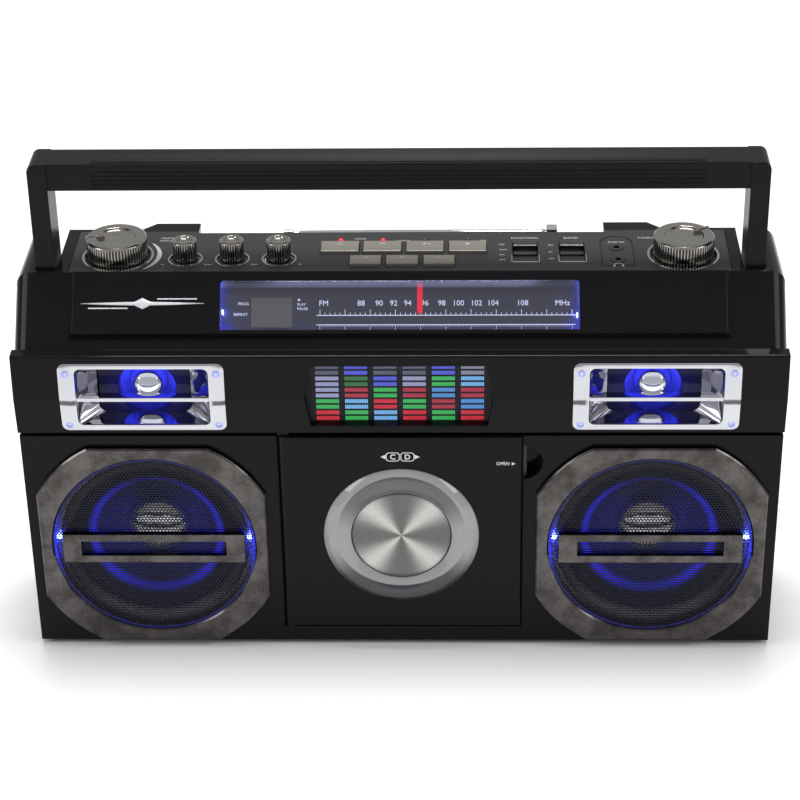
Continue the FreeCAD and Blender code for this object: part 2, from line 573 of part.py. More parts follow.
def dialParts():
    window = box("dialWindow", ("dialLeft", "dialRight"), ("dialLow", "dialHigh"), (1.6, "fasciaProud + 0.8"))
    keep(slopeNode(window), "dial_window")
    scale = box("dialScale", ("dialLeft", "dialRight"), ("dialLow", "dialHigh"), (-3.8, -2.8))
    keep(slopeNode(scale), "dial_scale")
    display = box("trackDisplay", ("lcdLeft", "lcdRight"), ("lcdLow", "lcdHigh"), (-2.8, -1.6))
    keep(slopeNode(display), "track_display")
    pointer = box("dialPointer", ("pointerX - pointerWide / 2", "pointerX + pointerWide / 2"),
                  ("pointerLow", "dialHigh - 0.6"), (-2.2, -0.8))
    keep(slopeNode(pointer), "dial_pointer")


def slopeNode(flat):
    """A flat box re-seated on the slope as one object, by fusing it alone inside a placed group."""
    return onSlope(group(flat.Name + "Seated", [flat]))


# ---- top panel and its controls ----

rearButtons = [("power_button", -44.3, -23.0), ("mode_button", -20.5, 0.8), ("play_button", 3.6, 24.4),
               ("stop_button", 27.4, 48.3)]
frontButtons = [("previous_button", -27.5, -10.2), ("next_button", -7.3, 10.4), ("repeat_button", 13.4, 30.6)]
smallKnobs = [("treble_knob", -119.3), ("bass_knob", -93.1), ("balance_knob", -67.0)]
ledPlaces = [-33.6, -9.7, 14.1, 37.9]


def buttonPlaces():
    for name, left, right in rearButtons:
        yield name, left, right, "rowRearLow", "rowRearHigh"
    for name, left, right in frontButtons:
        yield name, left, right, "rowFrontLow", "rowFrontHigh"


def topPanel():
    plate = box("panelPlate", ("-panelHalf", "panelHalf"), (topFront, "panelRear"), (panelBottom, "topZ"))
    through = (panelBottom + " - 1", "topZ + 1")
    tools = [box("panelNotch", ("-notchHalf", "notchHalf"), ("notchFront", "panelRear + 1"), through)]
    drill = (panelBottom + " - 1", "panelThick + 2")
    for side in (-1, 1):
        tools.append(cylinder("panelBig%d" % (side + 1), "Z", "bigDish",
                              ("%d * bigKnobX" % side, "bigKnobY", drill[0]), drill[1]))
    for name, x in smallKnobs:
        tools.append(cylinder("panel" + name, "Z", "smallDish", (x, "smallKnobY", drill[0]), drill[1]))
    for name, left, right, low, high in buttonPlaces():
        tools.append(box("panel" + name, ("%s - playGap" % left, "%s + playGap" % right),
                         (low + " - playGap", high + " + playGap"), through))
    for index, x in enumerate(ledPlaces):
        tools.append(cylinder("panelLed%d" % index, "Z", "ledRad + 0.1", (x, "ledY", drill[0]), drill[1]))
    for x in ("functionX", "bandX"):
        tools.append(box("panelSlot" + x, (x + " - slotWide / 2", x + " + slotWide / 2"), ("slotLow", "slotHigh"),
                         through))
    for y in ("auxY", "phonesY"):
        tools.append(cylinder("panelJack" + y, "Z", 4, ("jackX", y, drill[0]), drill[1]))
    tools.append(archGroove())
    keep(cut("topPanel", plate, *tools), "top_panel")


def archGroove():
    """A fine groove round the sockets: straight in front, round behind."""
    rims = []
    for name, half in (("archOuter", 9.3), ("archInner", 8.6)):
        depth = ("topZ - 0.6", "topZ + 1")
        foot = "phonesY - 7.9" if name == "archOuter" else "phonesY - 7.2"
        straight = box(name + "Box", ("jackX - %s" % half, "jackX + %s" % half), (foot, "auxY + 5.3"), depth)
        bow = cylinder(name + "Bow", "Z", half, ("jackX", "auxY + 5.3", "topZ - 0.6"), 1.6)
        rims.append(fuse(name, straight, bow))
    return cut("archGroove", *rims)


def controlDishes():
    dishes = []
    for side in (-1, 1):
        dishes.append(turned("bigDish%d" % (side + 1), [
            (3.6, 222), ("bigDish", 222), ("bigDish", "topZ"), ("bigDish - 1.2", "topZ"),
            ("bigDish - 1.8", 223.5), (3.6, 223.5),
        ], "%d * bigKnobX" % side, "bigKnobY"))
    for name, x in smallKnobs:
        dishes.append(turned("dish" + name, [
            (2.6, 222.5), ("smallDish", 222.5), ("smallDish", "topZ"), ("smallDish - 0.8", "topZ"),
            ("smallDish - 1.4", 224), (2.6, 224),
        ], x, "smallKnobY"))
    keep(group("controlDishes", dishes), "control_dishes")


def controlPots():
    """Potentiometers, and the larger tuning capacitor under the right hand knob."""
    pots = []
    places = [("volume", "-bigKnobX", "bigKnobY", 3, 222), ("tuner", "bigKnobX", "bigKnobY", 3, 222)]
    places += [(name, x, "smallKnobY", 2, 222.5) for name, x in smallKnobs]
    for name, x, y, shaft, top in places:
        half = 11 if name == "tuner" else 8
        case = box(name + "Case", ("%s - %s" % (x, half), "%s + %s" % (x, half)),
                   ("%s - 8" % y, "%s + 8" % y), (204, 214))
        bush = cylinder(name + "Bush", "Z", shaft + 2, (x, y, 214), top - 214)
        bore = cylinder(name + "Bore", "Z", "%s + fitGap" % shaft, (x, y, 208), 20)
        pots.append(cut(name + "Pot", fuse(name + "Body", case, bush), bore))
    keep(group("controlPots", pots), "control_pots")


def bigKnob(nodeName, side, tabTurn):
    """Skirted knob with a dished top; the tab that marks its setting stands out past the side."""
    x = "%d * bigKnobX" % side
    knob = turned(nodeName + "Body", [
        (0, 208.5), (3, 208.5), (3, 224.2), (17.6, 224.2), (17.6, 226.2), ("bigKnob", 226.8),
        ("bigKnob", "knobTop - 0.8"), ("bigKnob - 0.8", "knobTop"), ("bigKnob - 3.6", "knobTop"),
        ("bigKnob - 4", "knobTop - 1.2"), (0, "knobTop - 1.2"),
    ], x, "bigKnobY")
    tab = box(nodeName + "Tab", (12.4, 19.2), (-2.4, 2.4), ("knobTop - 3", "knobTop + 0.6"))
    swung = group(nodeName + "TabSwung", [tab])
    place(swung, x, "bigKnobY", 0, FreeCAD.Rotation(zAxis, tabTurn))
    keep(fuse(nodeName, knob, swung), nodeName)


def smallKnob(nodeName, x):
    keep(turned(nodeName, [
        (0, 208.5), (2, 208.5), (2, 224.6), ("smallKnob + 0.4", 224.6), ("smallKnob + 0.4", 226),
        ("smallKnob", 226.4), ("smallKnob", "knobTop - 0.8"), ("smallKnob - 0.8", "knobTop"),
        ("smallKnob - 1.6", "knobTop"), ("smallKnob - 2.6", "knobTop - 1"), (0, "knobTop - 1.2"),
    ], x, "smallKnobY"), nodeName)


def pushButton(nodeName, left, right, low, high):
    """A key cap with a lip under the panel that keeps it from lifting out."""
    cap = box(nodeName + "Cap", (left, right), (low, high), (219, "buttonTop"))
    soft = rounded(nodeName + "Soft", cap, 0.5, lambda edge: near(edge.BoundBox.ZMin, dims["buttonTop"]))
    lip = box(nodeName + "Lip", ("%s - lipWide" % left, "%s + lipWide" % right),
              (low + " - lipWide", high + " + lipWide"), (222, panelBottom + " - 0.3"))
    keep(fuse(nodeName, soft, lip), nodeName)


def slideSwitch(nodeName, x):
    half = "(slotWide / 2 - playGap)"
    knob = box(nodeName + "Knob", (x + " - " + half, x + " + " + half), ("slotHigh - 11", "slotHigh - 0.3"),
               (219, "topZ + 1.6"))
    skirt = box(nodeName + "Skirt", (x + " - 9.4", x + " + 9.4"), ("slotLow - 0.6", "slotHigh + 9.5"),
                (221.5, panelBottom + " - 0.4"))
    keep(fuse(nodeName, knob, skirt), nodeName)


def audioJacks():
    jacks = [turned("jack" + y, [
        (0, 211), (6, 211), (6, panelBottom), (3.9, panelBottom), (3.9, "topZ + 0.4"), ("jackBore", "topZ + 0.4"),
        ("jackBore", 213), (0, 213),
    ], "jackX", y) for y in ("auxY", "phonesY")]
    keep(group("audioJacks", jacks), "audio_jacks")


def statusLeds():
    lamps = []
    for index, x in enumerate(ledPlaces):
        stem = cylinder("ledStem%d" % index, "Z", "ledRad", (x, "ledY", 222), "topZ - 222")
        dome = sphere("ledDome%d" % index, "ledRad", (x, "ledY", "topZ"))
        lamps.append(fuse("led%d" % index, stem, dome))
    keep(group("statusLeds", lamps), "status_leds")


# ---- handle ----

def handle():
    arms = []
    for side in (-1, 1):
        word = "left" if side < 0 else "right"
        ends = span(side, "armIn", "armOut")
        post = box(word + "Post", ends, ("pivotY - armDeep / 2", "pivotY + armDeep / 2"), ("pivotZ", "barHigh"))
        foot = cylinder(word + "PostFoot", "X", "armDeep / 2", (ends[0], "pivotY", "pivotZ"), "armOut - armIn")
        arms += [post, foot]
    bar = box("handleBar", ("-armOut", "armOut"), ("pivotY - armDeep / 2 + 1", "pivotY + armDeep / 2 - 1"),
              ("barLow", "barHigh"))
    joined = fuse("handleJoined", *arms, bar)
    joined.Refine = True
    soft = rounded("handleSoft", joined, 4.5, lambda edge: (
        near(abs(edge.CenterOfMass.x), dims["armOut"]) and near(edge.BoundBox.ZMin, dims["barHigh"])))
    bore = cylinder("handleBore", "X", "pinRad + fitGap", ("-halfWidth", "pivotY", "pivotZ"), "2 * halfWidth")
    keep(cut("handleFrame", soft, bore), "handle_frame")
    sleeve = box("gripOuter", ("-gripHalf", "gripHalf"),
                 ("pivotY - armDeep / 2 + 1 - gripSkin", "pivotY + armDeep / 2 - 1 + gripSkin"),
                 ("barLow - gripSkin", "gripTop"))
    core = box("gripCore", ("-gripHalf - 1", "gripHalf + 1"),
               ("pivotY - armDeep / 2 + 1", "pivotY + armDeep / 2 - 1"), ("barLow", "barHigh"))
    keep(cut("handleGrip", sleeve, core), "handle_grip")
    pins = mirrorPair("handlePin", lambda name, side: cylinder(
        name, "X", "pinRad", ("%d * (channelIn + channelOut) / 2 - 8" % side, "pivotY", "pivotZ"), 16))
    keep(group("handlePivots", pins), "handle_pivots")


# ---- disc player ----

def discDoor():
    pinX = "(barrelRad - doorHalf)"
    pinY = "(doorFront + barrelRad)"
    plate = box("doorPlate", (pinX, "doorHalf"), ("doorFront", "doorFront + doorThick"), ("doorLow", "doorHigh"))
    soft = rounded("doorBevel", plate, 0.8, lambda edge: (
        near(edge.BoundBox.YMax, dims["doorFront"]) and edge.CenterOfMass.x > 0), "Part::Chamfer")
    barrel = cylinder("doorBarrel", "Z", "barrelRad", (pinX, pinY, "doorLow"), "doorHigh - doorLow")
    bore = cylinder("doorBore", "Z", "hingePin + fitGap", (pinX, pinY, "doorLow - 1"), "doorHigh - doorLow + 2")
    keep(cut("discDoor", fuse("doorSolid", soft, barrel), bore), "cd_door")
    pin = cylinder("hingePinRod", "Z", "hingePin", (pinX, pinY, 7), 138)
    keep(pin, "cd_hinge_pin")
    keep(turned("doorRing", [
        ("ringOut", "-doorFront"), ("ringOut - 0.8", 46), ("ringOut - 5.5", 48.6), (34.5, 49.4), (30.5, 48.8),
        ("ringIn", 47.4), ("ringIn", "-doorFront"),
    ], 0, 0, "discZ", "front"), "cd_door_ring")
    keep(turned("doorCap", [
        (0, "-doorFront"), ("ringIn - 0.2", "-doorFront"), ("ringIn - 0.8", "-doorFront + 0.9"),
        (0, "-doorFront + 1.1"),
    ], 0, 0, "discZ", "front"), "cd_door_cap")


def discWell():
    wellTop = "(lowerTop - wall)"
    outer = box("trayOuter", ("-(trayHalf + 2)", "trayHalf + 2"), ("lowerFront + wall", "trayBack + 2"),
                ("trayLow - 2.7", wellTop))
    inner = box("trayInner", ("-trayHalf", "trayHalf"), ("lowerFront", "trayBack"), ("trayLow", "trayHigh"))
    boss = cylinder("motorCase", "Y", 12, (0, "trayBack + 1", "discZ"), 14)
    bore = cylinder("spindleBore", "Y", 1.55, (0, "trayBack - 1", "discZ"), 14)
    slot = box("sledSlot", (20, 66), ("trayBack - 1", "trayBack + 3"), ("discZ - 6.8", "discZ + 6.8"))
    hinge = cylinder("trayHinge", "Z", "hingePin + 0.1", ("barrelRad - doorHalf", "doorFront + barrelRad", 7), 7)
    barrelRoom = cylinder("trayBarrelRoom", "Z", "barrelRad + 0.4",
                          ("barrelRad - doorHalf", "doorFront + barrelRad", "trayLow"), "lowerTop - trayLow")
    keep(cut("discTray", fuse("trayBody", outer, boss), inner, bore, slot, hinge, barrelRoom), "cd_tray")
    keep(turned("turntable", [
        (0, 10), (1.5, 10), (1.5, 25), (4, 25), (4, 29), (17, 29), (17, 31), (7.3, 31), (7.3, 34), (6.3, 34.8),
        (0, 34.8),
    ], 0, 0, "discZ", "front"), "cd_turntable")
    sled = box("sledBlock", (22, 42), (-27, -15), ("discZ - 6", "discZ + 6"))
    lens = cylinder("sledLens", "Y", 3, (32, -28.2, "discZ"), 2)
    keep(fuse("laserSled", sled, lens), "laser_sled")


# ---- rear fittings and electronics ----

def batteryBay():
    hingeY = "(bulgeFace - 1.6)"
    hingeZ = "(bayLow + 2)"
    lid = box("lidPlate", ("-(bayHalf - 0.4)", "bayHalf - 0.4"), ("bulgeFace - 3.2", "bulgeFace"),
              (hingeZ, "bayHigh - 0.5"))
    roll = cylinder("lidRoll", "X", 1.6, ("-(bayHalf - 0.4)", hingeY, hingeZ), "2 * (bayHalf - 0.4)")
    trunnion = cylinder("lidTrunnion", "X", 1, ("-(bayHalf + 1.5)", hingeY, hingeZ), "2 * (bayHalf + 1.5)")
    keep(fuse("batteryDoor", lid, roll, trunnion), "battery_door")
    springs = []
    for side in (-1, 1):
        for y in (20, 36):
            for z in (38, 76):
                start = "bayHalf - 4" if side > 0 else "-bayHalf"
                springs.append(cylinder("contact%d" % len(springs), "X", 4, (start, y, z), 4))
    keep(group("batteryContacts", springs), "battery_contacts")


def powerInlet():
    shell = box("inletShell", (165, 185), ("rearFace - 15", "rearFace + 0.4"), (40, 58))
    recess = box("inletRecess", (167.5, 182.5), ("rearFace - 10", "rearFace + 2"), (44.5, 53.5))
    blades = [cylinder("inletBlade%d" % index, "Y", 1.1, (x, "rearFace - 11", 49), 8)
              for index, x in enumerate((171, 179))]
    keep(fuse("powerInlet", cut("inletBody", shell, recess), *blades), "power_inlet")


def mainBoard():
    board = box("boardPlate", (-110, 110), (16, 17.6), (106, 200))
    coil = box("boardTransformer", (-100, -62), (17.6, 37), (110, 150))
    sink = box("boardHeatSink", (20, 90), (4, 16), (112, 150))
    keep(fuse("mainBoard", board, coil, sink), "main_board")


# ---- antenna ----

def antenna():
    disc = cylinder("knuckleDisc", "Y", 4.8, ("mastX", "notchFront + 0.3", "swivelZ"), 2.4)
    shaft = cylinder("knuckleShaft", "Y", 2.5, ("mastX", "notchFront - wall", "swivelZ"), 4)
    ears = [box("knuckleEar%d" % index, ("mastX - 3", "mastX + 3"), ("notchFront + 2", "mastY + 3"),
                ("mastZ + " + low, "mastZ + " + high))
            for index, (low, high) in enumerate((("2.5", "3.9"), ("(-3.9)", "(-2.5)")))]
    rivet = cylinder("knuckleRivet", "Z", 1.2, ("mastX", "mastY", "mastZ - 3"), 6)
    keep(fuse("antennaKnuckle", disc, shaft, *ears, rivet), "antenna_knuckle")
    tube = cylinder("mastTube", "X", "mastRad", ("mastEnd", "mastY", "mastZ"), "mastX - 2 - mastEnd")
    eye = cylinder("mastEye", "Z", 2.9, ("mastX", "mastY", "mastZ - 2.2"), 4.4)
    eyeBore = cylinder("mastEyeBore", "Z", "1.2 + fitGap", ("mastX", "mastY", "mastZ - 3"), 6)
    bore = cylinder("mastBore", "X", "tipRad + fitGap", ("mastEnd - 1", "mastY", "mastZ"), 138)
    keep(cut("antennaMast", fuse("mastSolid", tube, eye), eyeBore, bore), "antenna_mast")
    rod = cylinder("tipRod", "X", "tipRad", ("mastEnd - 2", "mastY", "mastZ"), 134)
    cap = cylinder("tipCap", "X", 2.6, ("mastEnd - 6.2", "mastY", "mastZ"), 6)
    keep(fuse("antennaTip", rod, cap), "antenna_tip")
    block = box("clipBlock", (-58.5, -55), ("notchFront", "mastY + 1"), ("notchFloor", "mastZ"))
    hole = cylinder("clipHole", "X", "mastRad + 0.1", (-60, "mastY", "mastZ"), 8)
    mouth = box("clipMouth", (-60, -52), ("mastY", "mastY + 6"), ("mastZ - mastRad - 0.1", "mastZ + 9"))
    keep(cut("antennaClip", block, hole, mouth), "antenna_clip")


frontCabinet()
rearCabinet()
rearScrews()
feet()
tweeterBand()
hornScrews()
tweeterHorn(-1)
tweeterHorn(1)
tweeterDrivers()
levelDisplay()
wooferBezels()
wooferGrilles()
grilleBars()
wooferDrivers()
wooferCone(-1)
wooferCone(1)
dialFascia()
dialParts()
topPanel()
controlDishes()
controlPots()
bigKnob("volume_knob", -1, 180)
bigKnob("tuning_knob", 1, 35)
for knobName, knobX in smallKnobs:
    smallKnob(knobName, knobX)
for place_ in buttonPlaces():
    pushButton(*place_)
slideSwitch("function_slider", "functionX")
slideSwitch("band_slider", "bandX")
audioJacks()
statusLeds()
handle()
discDoor()
discWell()
batteryBay()
powerInlet()
mainBoard()
antenna()

doc.recompute()
for thing in doc.Objects:
    failed = {"Invalid", "Error"} & set(thing.State)
    assert not failed, "%s did not compute: %s" % (thing.Label, thing.State)
os.makedirs("parts", exist_ok=True)
for node in nodes:
    assert not node.Shape.isNull() and node.Shape.isValid(), node.Label + " has no valid shape"
    node.Shape.exportStep("parts/%s.step" % node.Label)
print(len(nodes), "sub-parts written")
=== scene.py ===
import bmesh
import bpy
import json
import numpy as np
from math import cos, pi, radians, sin, sqrt
from mathutils import Matrix, Vector


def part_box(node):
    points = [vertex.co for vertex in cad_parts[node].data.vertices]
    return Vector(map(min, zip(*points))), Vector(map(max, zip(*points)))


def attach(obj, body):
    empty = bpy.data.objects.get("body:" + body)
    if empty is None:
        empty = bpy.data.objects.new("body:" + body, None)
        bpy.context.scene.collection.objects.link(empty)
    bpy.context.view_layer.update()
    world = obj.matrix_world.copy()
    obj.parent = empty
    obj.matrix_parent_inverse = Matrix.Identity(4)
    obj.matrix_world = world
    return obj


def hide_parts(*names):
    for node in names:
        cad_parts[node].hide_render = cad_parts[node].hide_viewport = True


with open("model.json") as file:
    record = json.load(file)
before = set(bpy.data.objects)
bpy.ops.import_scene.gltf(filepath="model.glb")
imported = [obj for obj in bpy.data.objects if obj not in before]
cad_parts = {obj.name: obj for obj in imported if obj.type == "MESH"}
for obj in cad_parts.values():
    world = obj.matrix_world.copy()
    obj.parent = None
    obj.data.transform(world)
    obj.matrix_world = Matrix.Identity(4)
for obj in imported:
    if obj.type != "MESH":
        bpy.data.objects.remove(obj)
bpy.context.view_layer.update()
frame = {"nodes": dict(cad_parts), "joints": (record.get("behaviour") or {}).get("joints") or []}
cad = frame["nodes"]
mm = 0.001
printThick = 0.05  # lettering and flat marks, in millimetres


def nodeBox(name):
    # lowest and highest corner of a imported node, in millimetres
    low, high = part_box(name)
    return np.array(low) / mm, np.array(high) / mm


def jointAt(name):
    # where a joint sits, in millimetres
    joint = [j for j in frame["joints"] if j["name"] == name][0]
    return np.array(joint["pos_m"]) / mm


bandLow, bandHigh = nodeBox("tweeter_band")
topZ = nodeBox("top_panel")[1][2]
slopeFoot = np.array([0, bandHigh[1], bandHigh[2]])
slopeLean = radians(40)


# A shape is (points, faces): an n by 3 array in millimetres and a list of index lists.

def gridShape(points, wrapV=False):
    # a sheet of quads over a rows by columns by 3 array: corner (i, j) joins (i, j+1), (i+1, j+1)
    # and (i+1, j), and with wrapV the last column joins the first
    rows, cols = points.shape[:2]
    index = np.arange(rows * cols).reshape(rows, cols)
    if wrapV:
        index = np.concatenate([index, index[:, :1]], axis=1)
    quads = np.stack([index[:-1, :-1], index[:-1, 1:], index[1:, 1:], index[1:, :-1]], axis=-1)
    return points.reshape(-1, 3), quads.reshape(-1, 4).tolist()


def joinShapes(shapes):
    # several shapes as one: each one's face corners are raised by the number of points before it
    points, faces, start = [], [], 0
    for shapePoints, shapeFaces in shapes:
        points.append(np.asarray(shapePoints, float))
        faces += [[corner + start for corner in face] for face in shapeFaces]
        start += len(shapePoints)
    return np.concatenate(points), faces


def loftShape(loops, capFirst=True, capLast=True):
    # a skin through closed loops of equal length, with a flat face over each end
    loops = np.asarray(loops, float)
    points, faces = gridShape(loops, wrapV=True)
    count = loops.shape[1]
    if capFirst:
        faces.append(list(range(count)))
    if capLast:
        last = len(points) - count
        faces.append([last + corner for corner in reversed(range(count))])
    return points, faces


def softLine(corners, radius, steps=4, closed=False):
    # each corner becomes a quadratic curve: (1-t)^2 start + 2t(1-t) corner + t^2 stop, starting radius away
    corners = np.asarray(corners, float)
    count = len(corners)
    out = []
    for index, corner in enumerate(corners):
        if not closed and index in (0, count - 1):
            out.append(corner[None])
            continue
        before, after = corners[index - 1], corners[(index + 1) % count]
        reach = min(radius, 0.45 * np.linalg.norm(before - corner), 0.45 * np.linalg.norm(after - corner))
        start = corner + (before - corner) / np.linalg.norm(before - corner) * reach
        stop = corner + (after - corner) / np.linalg.norm(after - corner) * reach
        share = np.linspace(0, 1, steps + 1)[:, None]
        out.append((1 - share) ** 2 * start + 2 * share * (1 - share) * corner + share ** 2 * stop)
    return np.concatenate(out)


def latheShape(profile, centre, axis="up", segments=64, ripple=None):
    # radius and height pairs turned round an axis: x = r cos a, y = r sin a, z = height, where
    # ripple(angle, radius, height) is added to r
    profile = np.asarray(profile, float)
    poleFirst, poleLast = profile[0, 0] < 1e-6, profile[-1, 0] < 1e-6
    rings = profile[(1 if poleFirst else 0):(len(profile) - 1 if poleLast else len(profile))]
    angle = np.linspace(0, 2 * pi, segments, endpoint=False)
    radius = np.repeat(rings[:, :1], segments, axis=1)
    height = np.repeat(rings[:, 1:], segments, axis=1)
    if ripple is not None:
        radius = radius + ripple(angle[None, :], radius, height)
    across, along = radius * np.cos(angle), radius * np.sin(angle)
    points, faces = gridShape(np.stack([across, along, height], axis=-1), wrapV=True)
    ends = ((poleFirst, profile[0, 1], 0), (poleLast, profile[-1, 1], len(points) - segments))
    for isPole, poleHeight, first in ends:
        if isPole:
            pole = len(points)
            points = np.concatenate([points, [[0, 0, poleHeight]]])
            ring = [(first + step, first + (step + 1) % segments) for step in range(segments)]
            faces += [[pole, b, a] if first == 0 else [pole, a, b] for a, b in ring]
    x, y, z = points.T
    if axis == "front":
        points = np.stack([x, -z, y], axis=1)
    if axis == "side":
        points = np.stack([-z, y, x], axis=1)
    return points + np.asarray(centre, float), faces


def roundRect(x0, x1, z0, z1, radius, steps=5, side=4):
    # outline of a rectangle with round corners, anticlockwise, with extra points along its sides
    corners = ((x1 - radius, z0 + radius, -pi / 2), (x1 - radius, z1 - radius, 0),
               (x0 + radius, z1 - radius, pi / 2), (x0 + radius, z0 + radius, pi))
    arcs = []
    for cx, cz, start in corners:
        angle = start + np.linspace(0, pi / 2, steps + 1)
        arcs.append(np.stack([cx + radius * np.cos(angle), cz + radius * np.sin(angle)], axis=1))
    out = []
    for index, arc in enumerate(arcs):
        nextStart = arcs[(index + 1) % 4][0]
        share = np.linspace(0, 1, side + 1)[1:-1, None]
        out += [arc, arc[-1] + (nextStart - arc[-1]) * share]
    return np.concatenate(out)


def lidShape(x0, x1, y0, y1, z0, z1, corner=1.0, edge=0.5, steps=3):
    # a block standing on z0 with round corners in plan and a rolled upper edge
    loops = [(0, z0)]
    for angle in np.linspace(0, pi / 2, steps + 1):
        loops.append((edge * (1 - cos(angle)), z1 - edge + edge * sin(angle)))
    rings = []
    for inset, height in loops:
        ring = roundRect(x0 + inset, x1 - inset, y0 + inset, y1 - inset, max(corner - inset, 0.05), 4, 1)
        rings.append(np.column_stack([ring, np.full(len(ring), height)]))
    return loftShape(rings)


def blockShape(x0, x1, y0, y1, z0, z1):
    # a plain box: its lower outline lofted to its upper one
    base = np.array([[x0, y0], [x1, y0], [x1, y1], [x0, y1]], float)
    return loftShape([np.column_stack([base, np.full(4, height)]) for height in (z0, z1)])


def weld(shape, step=0.002):
    # points closer than step become one
    points, faces = shape
    keys = np.round(points / step).astype(np.int64)
    unused, first, inverse = np.unique(keys, axis=0, return_index=True, return_inverse=True)
    inverse = inverse.reshape(-1)
    return points[first], [[int(inverse[corner]) for corner in face] for face in faces]


def onSlope(shape):
    # x across, y up the slope, z out of it: y = up sin a - out cos a and z = up cos a + out sin a
    points, faces = shape
    x, up, out = np.asarray(points, float).T
    y = slopeFoot[1] + up * sin(slopeLean) - out * cos(slopeLean)
    z = slopeFoot[2] + up * cos(slopeLean) + out * sin(slopeLean)
    return np.stack([x, y, z], axis=1), faces


def onFront(shape, depth):
    # x across, y up, z out, carried to an upright face that looks forward at that depth
    points, faces = shape
    x, up, out = np.asarray(points, float).T
    return np.stack([x, depth - out, up], axis=1), faces


def markShape(x0, x1, y0, y1, z=0.0):
    # a flat rectangle of print lying on z
    return blockShape(x0, x1, y0, y1, z, z + printThick)


def moved(shape, x=0, y=0, z=0):
    # the same shape with x, y and z added to every point
    return shape[0] + np.array([x, y, z], float), shape[1]


def turnedFlat(shape, angle, centre):
    # turned about an upright axis: x' = x cos a - y sin a, y' = x sin a + y cos a from the centre
    points = shape[0] - np.asarray(centre, float)
    x, y, z = points.T
    spun = np.stack([x * cos(angle) - y * sin(angle), x * sin(angle) + y * cos(angle), z], axis=1)
    return spun + np.asarray(centre, float), shape[1]


def makePiece(name, shape, material, body="cabinet", replaces=(), sharp=35,
              colours=None):
    # one object at the origin: faces turned outwards, smooth except at edges bent past sharp degrees
    points, faces = shape
    mesh = bpy.data.meshes.new(name)
    mesh.from_pydata((np.asarray(points) * mm).tolist(), [], faces)
    if colours is not None:
        layer = mesh.color_attributes.new("tint", "FLOAT_COLOR", "POINT")
        layer.data.foreach_set("color", np.asarray(colours, np.float32).ravel())
    mesh.validate()
    work = bmesh.new()
    work.from_mesh(mesh)
    bmesh.ops.recalc_face_normals(work, faces=work.faces)
    work.to_mesh(mesh)
    work.free()
    mesh.shade_smooth()
    mesh.set_sharp_from_angle(angle=radians(sharp))
    mesh.materials.append(material)
    piece = bpy.data.objects.new(name, mesh)
    bpy.context.scene.collection.objects.link(piece)
    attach(piece, body)
    if replaces:
        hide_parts(*replaces)
    return piece


def textShape(words, size, bold=0.0):
    # plain lettering as a thin flat mesh, x across and y up, in millimetres
    curve = bpy.data.curves.new("lettering", "FONT")
    curve.body = words
    curve.size = size
    curve.align_x = curve.align_y = "CENTER"
    curve.extrude = printThick
    curve.offset = bold
    curve.resolution_u = 3
    holder = bpy.data.objects.new("lettering", curve)
    bpy.context.scene.collection.objects.link(holder)
    bpy.context.view_layer.update()
    mesh = bpy.data.meshes.new_from_object(holder.evaluated_get(bpy.context.evaluated_depsgraph_get()))
    points = np.empty(len(mesh.vertices) * 3)
    mesh.vertices.foreach_get("co", points)
    faces = [list(polygon.vertices) for polygon in mesh.polygons]
    bpy.data.objects.remove(holder)
    bpy.data.curves.remove(curve)
    bpy.data.meshes.remove(mesh)
    return points.reshape(-1, 3), faces


class Wire:
    # one output socket that arithmetic can be written on
    def __init__(self, shade, socket):
        self.shade, self.socket = shade, socket

    def calc(self, operation, *values):
        # a Math node whose first input is this wire
        inputs = {index: value for index, value in enumerate((self,) + values)}
        return self.shade.node("ShaderNodeMath", {"operation": operation}, inputs)

    def __add__(self, other):
        return self.calc("ADD", other)

    def __sub__(self, other):
        return self.calc("SUBTRACT", other)

    def __mul__(self, other):
        return self.calc("MULTIPLY", other)

    def __truediv__(self, other):
        return self.calc("DIVIDE", other)

    def __pow__(self, other):
        return self.calc("POWER", other)

    def __rsub__(self, other):
        return self.calc("MULTIPLY", -1) + other

    __radd__ = __add__
    __rmul__ = __mul__

    def band(self, low, high):
        # 0 below low, 1 above high, smooth between
        return self.shade.node("ShaderNodeMapRange", {"interpolation_type": "SMOOTHSTEP"},
                               {"Value": self, "From Min": low, "From Max": high})


socketNames = {"base": "Base Color", "rough": "Roughness", "metal": "Metallic", "coat": "Coat Weight",
               "glow": "Emission Color", "power": "Emission Strength", "normal": "Normal",
               "spec": "Specular IOR Level"}


